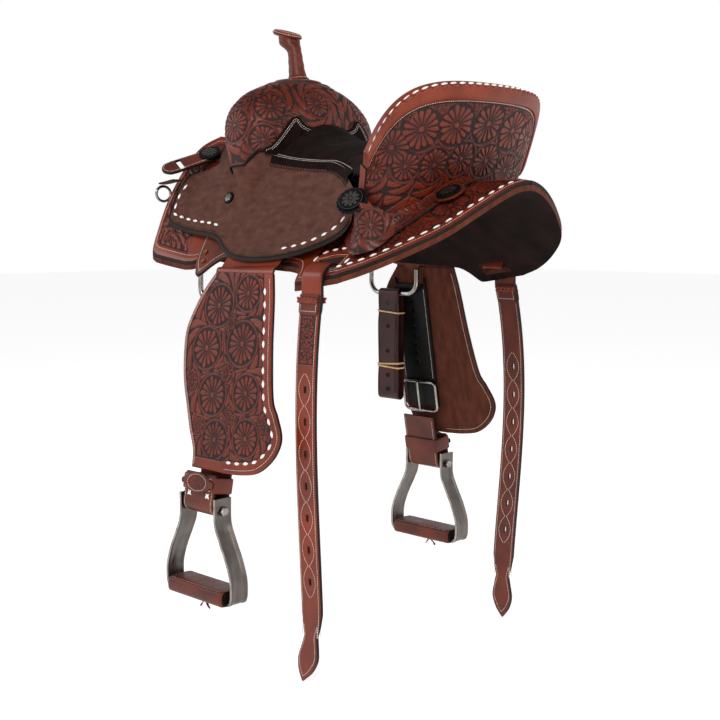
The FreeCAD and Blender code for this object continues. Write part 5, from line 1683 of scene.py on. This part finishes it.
def stirrup(word, side):
    """The metal stirrup: a bent bar with turned edges, its bolt, and the leather tread."""
    build = Build("aluminium", "polished", "aluminium", "steel")
    right = np.array([(share * STIRRUP_REACH, z) for share, z in STIRRUP_HALF])
    half = curve(right, 3.0)
    line = np.vstack([half, (half * (-1, 1))[::-1]])
    line = respaced(line, 3.0)
    along = unit(np.gradient(line, axis=0))
    normal = coords(along[:, 1], -along[:, 0])
    if (normal[0] @ (1, 0)) < 0:
        normal = -normal
    across = np.array([-16, -15.7, -14.8, -12.6, -11, -6, 0, 6, 11, 12.6, 14.8, 15.7, 16.0])
    lip = np.array([-0.6, -0.1, 0.0, 0.0, -0.9, -1.0, -1.0, -1.0, -0.9, 0.0, 0.0, -0.1, -0.6])
    outer = np.array([[BOLT + (p[0] + n[0] * l, -y, p[1] + n[1] * l) for y, l in zip(across, lip)]
                      for p, n in zip(line, normal)])
    inner = np.array([[BOLT + (p[0] - n[0] * (5 + l * 0.6), -y, p[1] - n[1] * (5 + l * 0.6))
                       for y, l in zip(across, lip)] for p, n in zip(line, normal)])
    rows, columns = outer.shape[:2]
    build.add(outer, grid_faces(rows, columns), 0)
    build.add(inner, grid_faces(rows, columns, flip=True), 0)
    for near, far, flip in ((outer[:, 0], inner[:, 0], True), (outer[:, -1], inner[:, -1], False),
                            (outer[0], inner[0], False), (outer[-1], inner[-1], True)):
        build.add(np.vstack([far, near]), grid_faces(2, len(near), False, flip), 1)
    for end in (-1, 1):
        head = BOLT + (end * 45.8, 0, 0)
        spin = np.linspace(0, 2 * math.pi, 7)[:-1]
        rings = [[head + (end * lift, r * math.cos(t), r * math.sin(t)) for t in spin]
                 for lift, r in ((-0.8, 7.6), (3.0, 7.6), (4.0, 6.4), (4.2, 0.1))]
        build.add(np.array(rings), grid_faces(4, 6, wrap=True, flip=end < 0), 3)
    item = build.make(f"stirrup_metal_{word}", side, sharp=35)
    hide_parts(f"stirrup_frame_{word}")
    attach(item, f"stirrup_{word}")
    tread(word, side)


def tread(word, side):
    """A leather-covered tread, rolled at its edges and laced together beneath the bar."""
    build = Build("smooth", "edge", "fender_back", "thread", "lace", "black", "saddle_lace")
    low = BOLT + (0, 0, -136.0)
    section = [(-25.8, 3), (-25, 11.0), (-22, 15.2), (-17, 17), (0, 17.4), (17, 17), (22, 15.2), (25, 11.0),
               (25.8, 3), (25, -3.5), (20, -7.2), (0, -8.0), (-20, -7.2), (-25, -3.5), (-25.8, 3)]
    ring = curve(section, 2.2)[:-1]
    stations = np.concatenate([[-66.5, -65.8, -64], np.arange(-60, 61, 3), [64, 65.8, 66.5]])
    shrink = np.interp(np.abs(stations), [0, 64, 65.8, 66.5], [1, 1, 0.97, 0.9])
    rows = np.array([[low + (x, y * s, 8.5 + (z - 8.5) * s + 0.35 * math.sin(x * 0.9) * (z > 14))
                      for y, z in ring] for x, s in zip(stations, shrink)])
    build.add(rows, grid_faces(len(rows), len(ring), wrap=True, flip=False), 0)
    size = len(ring)
    near_end = [[0, 1 + k, 1 + (k + 1) % size] for k in range(size)]
    far_end = [[0, 1 + (k + 1) % size, 1 + k] for k in range(size)]
    build.add(np.vstack([rows[0].mean(0)[None], rows[0]]), near_end, 1)
    build.add(np.vstack([rows[-1].mean(0)[None], rows[-1]]), far_end, 1)
    for edge in (-1, 1):
        x = np.linspace(-61, 61, 80)
        line = coords(low[0] + x, low[1] + edge * 20.5 + 0 * x, low[2] + 16.0 + 0 * x)
        stitches(build, line, unit(coords(0 * x, 0.45 * edge + 0 * x, 1 + 0 * x)), THREAD, 3)
    for k in range(9):
        x = -52 + 13 * k
        zig = [low + (x, -14, -8.2), low + (x + 6.5, 14, -8.2)]
        tube(build, respaced(np.array(zig), 4), 1.3, 5, 6)
        zag = [low + (x + 6.5, 14, -8.8), low + (x + 13, -14, -8.8)]
        tube(build, respaced(np.array(zag), 4), 1.3, 5, 6)
    for lean in (-9.0, 7.0):
        tie = [(0, 0, -8), (lean * 0.3, 2, -14), (lean, 4, -20), (lean * 1.4, 3, -24)]
        tube(build, low + curve(tie, 1.5), 2.0, 6, 7, flat=0.5)
    item = build.make(f"tread_leather_{word}", side)
    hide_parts(f"stirrup_tread_{word}")
    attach(item, f"stirrup_{word}")


# ---------------------------------------------------------------- flank and off billets

BILLET_X = -142
BILLET_LONG = 584
BILLET_HALF = 20.5
SWAY = {"left": (15, 24), "right": (-22, -4)}
BILLET_ROOT = [(190, -72), (193, -58), (198, -52), (210, -54), (222, -65), (224.8, -80), (225, -92)]
BILLET_PATH = curve(BILLET_ROOT, 1.0)


def billet_face(sway):
    """A billet's outer side: across it from its middle line, and down from its bend."""
    before = travelled(BILLET_PATH)
    before -= before[-1]
    slope = unit(np.gradient(BILLET_PATH, axis=0))

    def surface(across, down, lift=0.0):
        share = np.clip(down / BILLET_LONG, 0, 1)
        tip = np.maximum(0, (share - 0.78) / 0.22)
        x = BILLET_X + across + sway[0] * 6.75 * share * (1 - share) ** 2 + sway[1] * tip**2
        y = np.interp(down, before, BILLET_PATH[:, 0])
        z = np.interp(down, before, BILLET_PATH[:, 1]) - np.maximum(0, down)
        out = (lift + 3.0)
        return coords(x, y - np.interp(down, before, slope[:, 1]) * out,
                      z + np.interp(down, before, slope[:, 0]) * out)
    return surface


def billet(word, side):
    """The long flank billet: tooled above, slotted and sewn in linked pointed ovals, waisted at its tip."""
    surface = billet_face(SWAY[word])

    def back(across, down, lift=0.0):
        return surface(-across, down, -6.0 - lift)

    half = BILLET_HALF
    waist = BILLET_LONG - 74
    narrowing = [(half, waist - 36), (half * 0.84, waist - 18), (half * 0.62, waist)]
    leaf = [(half * 0.62, waist), (half * 0.80, waist + 17), (half * 0.96, waist + 37),
            (half * 0.66, waist + 57), (0, BILLET_LONG)]
    outline = outline_of([
        [(-half, -74), (half, -74)], [(half, -74), (half, waist - 36)], narrowing, leaf,
        [(-x, y) for x, y in leaf[::-1]], [(-x, y) for x, y in narrowing[::-1]],
        [(-half, waist - 36), (-half, -74)]])
    centres = [142 + 47.5 * k for k in range(7)]
    oval = [(2.5, 3.2), (1.6, 5.0), (0, 5.6), (-1.6, 5.0), (-2.5, 3.2), (-2.5, -3.2), (-1.6, -5.0), (0, -5.6),
            (1.6, -5.0), (2.5, -3.2), (2.5, 3.2)]
    holes = [outline_of([[(x, d + y) for x, y in oval]], 0.9) for d in centres]
    flowers = plant(surface, [(0, 52, 15), (-1, 84, 14)], petals=12)

    def relief(spots, points):
        room = np.minimum(half - 6.0 - np.abs(spots[:, 0]), 104 - spots[:, 1])
        room = np.minimum(room, spots[:, 1] - 34)
        return bordered(carve(points, flowers), room)

    build = Build("tooled", "edge", "smooth", "thread", "saddle_lace", "smooth")
    panel(build, surface, outline, 6, relief, holes=holes, spacing=1.9)
    rim = [(half - 3.4, 34), (half - 3.4, waist - 38), (half * 0.84 - 3.2, waist - 18),
           (half * 0.62 - 3.0, waist), (half * 0.80 - 3.2, waist + 17), (half * 0.96 - 3.6, waist + 35),
           (half * 0.6 - 3.0, waist + 53), (0, BILLET_LONG - 9)]
    for face in (surface, back):
        for turn in (-1, 1):
            stitch_row(build, face, curve([(turn * x, y) for x, y in rim], 2.0), THREAD, 3)
            for centre in centres:
                down = np.linspace(centre - 23.75, centre + 23.75, 40)
                bulge = 11.6 * np.cos((down - centre) / 23.75 * math.pi / 2) ** 0.8
                stitch_row(build, face, coords(turn * (bulge + 0.8), down), THREAD, 3)
    turned_end(build, surface, back, half)
    item = build.make(f"flank_billet_{word}", side)
    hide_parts(f"billet_{word}", "billet_straps")
    start = blend_point(surface, 0.0, -14.0, side)
    end = blend_point(surface, 0.0, 0.0, side)
    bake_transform(item)


def turned_end(build, surface, back, half):
    """The strap's own end, turned back over the skirt, sewn down and laced across."""
    wide = half - 0.8
    tip = half - 4
    flap = outline_of([[(-wide, 3), (wide, 3)], [(wide, 3), (wide, 27), (tip, 31)], [(tip, 31), (-tip, 31)],
                       [(-tip, 31), (-wide, 27), (-wide, 3)]])
    for face in (surface, back):
        def patch(across, down, lift=0.0, face=face):
            return face(across, down, lift + 2.6)

        panel(build, patch, flap, 2.6, spacing=3, slots=(5, 1, 2), bevel=0.7)
        frame = np.array([(-half + 4.2, 6.0), (-half + 4.2, 27.0), (half - 4.2, 27.0), (half - 4.2, 6.0)])
        stitch_row(build, patch, frame, THREAD, 3)
        for k in range(5):
            x = -half + 3.5 + 8.0 * k
            for turn, lift in ((1, 0.7), (-1, 1.5)):
                line = [(x, 11 - 4 * turn), (x + 4, 11 + turn), (x + 8, 11 + 4 * turn)]
                line = respaced(np.array(line, float), 1.5)
                line[:, 0] = np.clip(line[:, 0], -half, half)
                tube(build, patch(line[:, 0], line[:, 1], lift + 0.5), 2.3, 4, 7, flat=0.7, up=(0, 1, 0))


OFF_CENTRE = np.array([99.0, 199.0, -117.8])
OFF_LONG = 186


def off_billet_face(across, down, lift=0.0):
    """The doubled strap's horse side: across it towards the rear, and down from the bow."""
    swing = 1.6 * np.sin(down / 30)
    return coords(OFF_CENTRE[0] - across, OFF_CENTRE[1] - 9.2 - lift + swing * 0.3 + 0 * across,
                  OFF_CENTRE[2] - down)


def off_billet():
    """The burgundy strap doubled over the off-side bow, with three rubber bands round it."""
    inner, outer = 5.2, 8.8
    angle = np.linspace(0, math.pi, 18)
    ring = [(outer * math.cos(t), outer * math.sin(t)) for t in angle]
    ring += [(-outer, -d) for d in range(6, OFF_LONG, 6)]
    ring += [(outer * math.cos(t), -OFF_LONG + outer * math.sin(t)) for t in angle + math.pi]
    ring += [(outer, -d) for d in range(OFF_LONG - 6, 0, -6)]
    ring = respaced(np.array(ring + ring[:1]), 2.4)[:-1]
    middle = coords(0 * ring[:, 0], np.clip(ring[:, 1], -OFF_LONG, 0))
    spread = unit(ring - middle)
    across = np.concatenate([[-25, -24.6, -23.4], np.linspace(-21, 21, 14), [23.4, 24.6, 25]])
    crown = np.interp(np.abs(across), [0, 23.4, 24.6, 25], [0, 0, -0.4, -1.1])
    build = Build("burgundy", "edge", "burgundy", "thread", "black")

    def layer(depths):
        rows = []
        for x, depth in zip(across, depths):
            upper_pinch = 0.16 * np.exp(-(((ring[:, 1] + 34) / 12) ** 2))
            lower_pinch = 0.1 * np.exp(-(((ring[:, 1] + 133) / 14) ** 2))
            pinch = 1 - upper_pinch - lower_pinch
            out = ring + spread * np.asarray(depth)
            wave = 0.5 * np.sin(ring[:, 1] / 17 + x / 12)
            rows.append(coords(OFF_CENTRE[0] + x + 0 * wave, OFF_CENTRE[1] + out[:, 0] * pinch + wave,
                               OFF_CENTRE[2] + out[:, 1]))
        return np.array(rows)

    shell(build, layer(crown), layer(np.full(len(across), inner - outer)), wrap=True)
    for edge in (-21.5, 21.5, 18.0):
        row = coords(np.full(60, edge), np.linspace(4, OFF_LONG - 6, 60))
        stitch_row(build, off_billet_face, row, THREAD, 4)
    # slot 4 is black leather: each hole is a flat black disc, painted shade where the punched hole would be
    for down in (18, 60, 106, 150, 176):
        hole(build, off_billet_face, 0.0, down, 3.4, 4)
    item = build.make("off_billet_leather", -1)
    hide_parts("off_billet")
    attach(item, "off_billet")
    bands = Build("rubber")
    for level, lean in ((-151.8, 0.9), (-246.8, -0.9), (-252.6, 0.7)):
        loop = rounded_ring(26.0, 9.9, 4.5, 8)
        pinch = 1 - 0.05 * np.abs(np.sin(np.arange(len(loop)) * 0.7))
        line = coords(OFF_CENTRE[0] + loop[:, 0], OFF_CENTRE[1] + loop[:, 1] * pinch,
                      level + lean * loop[:, 0] / 14)
        tube(bands, line, 1.25, 0, 8, closed=True, flat=1.3)
    item = bands.make("rubber_band_loops", -1)
    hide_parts("rubber_bands")
    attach(item, "off_billet")


def hole(build, surface, a, b, radius, slot):
    """A punched hole on a strap: a pressed rim round a flat mouth with no depth, both in the given slot's
    leather; in black, the mouth is painted shade standing in for the hole.
    """
    turn = np.linspace(0, 2 * math.pi, 18, endpoint=False)
    rings = [surface(a + radius * share * np.cos(turn), b + radius * share * np.sin(turn), lift)
             for share, lift in ((1.25, -0.2), (1.12, 0.35), (0.95, 0.3), (0.85, -0.1), (0.05, 0.1))]
    build.add(np.array(rings), grid_faces(len(rings), len(turn), wrap=True), slot)


# ---------------------------------------------------------------- conchos, keeper, dees and lacing


def axes_for(normal, up):
    """Two directions across a normal, the second as near to up as can be."""
    across = unit(np.cross(up, normal))
    return across, unit(np.cross(normal, across))


def medallion(build, centre, normal, radii, height, slot, petals=10, up=(1, 0, 0.2), rope=True):
    """A domed flower casting: a roped rim, a ring of petals and a raised centre."""
    normal = unit(np.asarray(normal, float))
    across, along = axes_for(normal, np.asarray(up, float))
    rho = np.concatenate([np.linspace(0, 0.86, 34), np.linspace(0.88, 1.0, 9)])
    theta = np.linspace(0, 2 * math.pi, 192, endpoint=False)
    r, t = np.meshgrid(rho, theta, indexing="ij")
    dome = height * (0.35 + 0.65 * np.sqrt(np.clip(1 - 0.82 * r**2, 0, 1)))
    leaf = np.abs(np.cos(petals * t / 2))
    edge = 0.5 + 0.28 * leaf
    petal = np.clip((edge - r) / 0.06, 0, 1) * (r > 0.2)
    cleft = np.exp(-(((leaf - 0.05) / 0.12) ** 2)) * (r > 0.2)
    small = np.clip((0.72 + 0.12 * np.abs(np.sin(petals * t / 2)) - r) / 0.05, 0, 1)
    value = np.clip(0.12 + 0.5 * small * (1 - petal) + 0.75 * petal * (1 - 0.8 * cleft), 0, 1)
    button = np.sqrt(np.clip(1 - (r / 0.17) ** 2, 0, 1))
    value = np.where(r < 0.18, 0.35 + 0.65 * button, value)
    if rope:
        twist = 0.5 + 0.5 * np.sin(40 * t + 24 * r)
        strand = 0.3 + 0.7 * twist * np.sin(np.clip((r - 0.87) / 0.12, 0, 1) * math.pi)
        value = np.where(r > 0.87, strand, value)
    lift = dome + value * 0.9 * (r < 0.99)
    points = (np.asarray(centre) + across * (r * np.cos(t) * radii[0])[..., None]
              + along * (r * np.sin(t) * radii[1])[..., None] + normal * lift[..., None])
    build.add(points, grid_faces(len(rho), len(theta), wrap=True, flip=True), slot, value.ravel())
    rim = points[-1]
    foot = rim - normal * (lift[-1] + 0.4)[:, None]
    build.add(np.vstack([rim, foot]), grid_faces(2, len(theta), wrap=True, flip=True), slot, 0.3)


def leather_rosette(build, centre, normal, radius, slots, lobes=18):
    """A small scalloped disc of leather under a concho."""
    across, along = axes_for(normal, np.array([1.0, 0, 0.2]))
    theta = np.linspace(0, 2 * math.pi, 216, endpoint=False)
    reach = radius * (0.94 + 0.06 * np.abs(np.cos(lobes * theta / 2)) ** 0.6)
    rings = []
    profile = ((0.1, 2.9), (0.86, 2.9), (0.95, 2.8), (1.0, 2.1), (1.0, 0.6), (0.97, 0.1), (0.1, 0.0))
    for share, lift in profile:
        rings.append(centre + across * (reach * share * np.cos(theta))[:, None]
                     + along * (reach * share * np.sin(theta))[:, None] + normal * lift)
    rings = np.array(rings)
    build.add(rings, grid_faces(len(rings), len(theta), wrap=True, flip=True), slots)


def normal_to(height, x, y):
    """The upward normal of a height over the plane."""
    step = 2.0
    dx = (height(x + step, y) - height(x - step, y)) / (2 * step)
    dy = (height(x, y + step) - height(x, y - step)) / (2 * step)
    return unit(np.array([-dx, -dy, 1.0]))


def conchos():
    """Antique floral conchos over leather rosettes at the jockeys' tips and on the rear skirts."""
    rear = normal_to(back_height, -268.0, 72.0)
    places = (((-181.0, 183.0, 38.0), unit(np.array([-0.25, 0.75, 0.6])), 3),
              ((-268.0, 72.0, back_height(-268.0, 72.0) + 12.0), rear, 0))
    for word, side in SIDES.items():
        discs = Build("smooth", "edge", "fender_back", "black")
        domes = Build("silver", "edge", "silver")
        for centre, normal, leather in places:
            centre = np.array(centre)
            leather_rosette(discs, centre, normal, 24, leather)
            medallion(domes, centre + normal * 3.0, normal, (19, 19), 3.4, 0)
        item = discs.make(f"concho_rosette_{word}", side)
        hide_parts("concho_rosettes")
        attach(item, "saddle")
        item = domes.make(f"flower_concho_{word}", side, sharp=70)
        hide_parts("conchos")
        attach(item, "saddle")
        small = Build("silver")
        normal = normal_to(jockey_height, 139.0, 146.0)
        centre = np.array([139.0, 146.0, jockey_height(139.0, 146.0) + 6.8])
        medallion(small, centre, normal, (10, 10), 2.6, 0, petals=6, rope=False)
        item = small.make(f"screw_concho_{word}", side, sharp=70)
        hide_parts("seat_screw_conchos")
        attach(item, "saddle")


KEEPER_START = np.array([255.0, 92.0, 123.0])
KEEPER_END = np.array([284.0, 152.0, 100.0])


def latigo_keeper():
    """The slotted leather tab on the near side, under its own concho."""
    run = KEEPER_END - KEEPER_START
    length = np.linalg.norm(run)
    forward = run / length
    across = unit(np.cross(forward, (-0.45, 0.35, 1.0)))
    normal = unit(np.cross(forward, across))
    if normal[2] < 0:
        normal = -normal
    sideways = np.cross(normal, forward)

    def face(a, b, lift=0.0):
        return (KEEPER_START + forward * np.asarray(a)[..., None] + sideways * np.asarray(b)[..., None]
                + normal * (5 + np.asarray(lift) + 0 * np.asarray(a))[..., None])

    half = 19
    oval = [(length - 4, half), (length + 8, half * 0.85), (length + 15, half * 0.4), (length + 17, 0)]
    tail = [(-13, 0), (-11, half * 0.45), (-2, half * 0.9)]
    outline = outline_of([tail, [tail[-1], oval[0]], oval, [(x, -y) for x, y in oval[::-1]],
                          [(length - 4, -half), (-2, -half * 0.9)], [(x, -y) for x, y in tail[::-1]]])
    middle = length - 16
    back, fore = middle - 4.5, middle + 4.5
    slot = outline_of(straight_sides((back, -16), (back, 16), (fore, 16), (fore, -16)), 1.2)
    build = Build("smooth", "edge", "fender_back", "thread")
    panel(build, face, outline, 5, holes=[slot], spacing=2.5)
    stitch_row(build, face, inset(np.vstack([outline, outline[:1]]), outline, 3.2), THREAD, 3)
    item = build.make("latigo_keeper_leather")
    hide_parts("latigo_keeper")
    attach(item, "saddle")
    dome = Build("silver", "edge", "silver")
    medallion(dome, KEEPER_START + normal * 5.3, normal, (19, 19), 3.4, 0)
    item = dome.make("keeper_flower_concho", sharp=70)
    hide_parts("keeper_concho")
    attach(item, "saddle")


DEE_HINGE = np.array([312.0, 150.0, 72.0])
DEE_RING = 13


def breast_dees():
    """A folded leather clip on each side at the front and the steel dee in it."""
    for word, side in SIDES.items():
        build = Build("smooth", "edge", "fender_back", "thread", "copper")
        tilt = math.radians(8)

        def face(a, b, lift=0.0):
            a = np.asarray(a, float)
            up = 2.7 + 3 + lift + 0.6 * np.exp(-((a / 6.0) ** 2))
            return DEE_HINGE + coords(a * math.cos(tilt), b + 0 * a, up - a * math.sin(tilt))

        clip = outline_of([[(-40, -10), (0, -10)], [(0, -10), (3, -6), (3, 6), (0, 10)], [(0, 10), (-40, 10)],
                           [(-40, 10), (-40, -10)]])
        panel(build, face, clip, 3, spacing=3)
        stitch_row(build, face, np.array([(-37.0, -7.5), (-1.0, -7.5)]), THREAD, 3)
        stitch_row(build, face, np.array([(-1.0, 7.5), (-37.0, 7.5)]), THREAD, 3)
        item = build.make(f"dee_clip_leather_{word}", side)
        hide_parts("dee_clips")
        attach(item, "saddle")
        ring = Build("steel")
        angle = np.linspace(0, 2 * math.pi, 72, endpoint=False)
        flatten = np.where(np.sin(angle) > 0.55, 0.96, 1.0)
        line = DEE_HINGE + coords(0 * angle, DEE_RING * 1.15 * np.cos(angle),
                                  DEE_RING * (np.sin(angle) * flatten - 1))
        tube(ring, line, 2.5, 0, 14, closed=True, up=(1, 0, 0))
        item = ring.make(f"breast_dee_steel_{word}", side)
        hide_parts(f"breast_dee_{word}")
        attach(item, f"breast_dee_{word}")


def skirt_lacing():
    """A flat lace crossed back and forth over the rear ridge, between two lengths of lace that run along it.
    """
    build = Build("smooth", "edge")
    for start in range(-346, -276, 20):
        for turn, lift in ((1, 1.1), (-1, 1.9)):
            t = np.linspace(0, 1, 12)
            x = start + 14 * t
            y = turn * (-14 + 28 * t)
            tube(build, SKIRT_TOP(x, y, lift), 2.4, 0, 8, flat=0.35)
    for y in (-14.5, 14.5):
        x = np.linspace(-350, -272, 30)
        tube(build, SKIRT_TOP(x, y + 0 * x, 0.4), 1.6, 0, 8, flat=0.5)
    item = build.make("skirt_lace")
    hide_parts("skirt_lacing")
    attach(item, "saddle")


# ---------------------------------------------------------------- tree and CAD parts that show


TREE = {"wood": ("tree_bar_left", "tree_bar_right", "fork", "cantle_board"),
        "ground": ("ground_seat",),
        "steel": ("horn_post", "rigging_bow_left", "rigging_bow_right", "stirrup_bolt_left",
                  "stirrup_bolt_right"),
        "copper": ("rigging_rivets",)}


def tree():
    """Materials for the CAD parts that stay in view."""
    for word, nodes in TREE.items():
        for node in nodes:
            item = frame["nodes"][node]
            item.data.materials.clear()
            item.data.materials.append(MATERIALS[word])


camera()
studio()
tree()
for side_word, side_sign in SIDES.items():
    for make_piece in (skirt, lining, jockey, rigging_plate, fender, stirrup_strap, roller_buckle,
                       stirrup_fold, hobble_strap, stirrup, billet, seat_trim, cantle_foot):
        make_piece(side_word, side_sign)
swell()
horn()
cantle_back()
cantle_roll()
seat_cushion()
seat_tab()
off_billet()
conchos()
latigo_keeper()
breast_dees()
skirt_lacing()
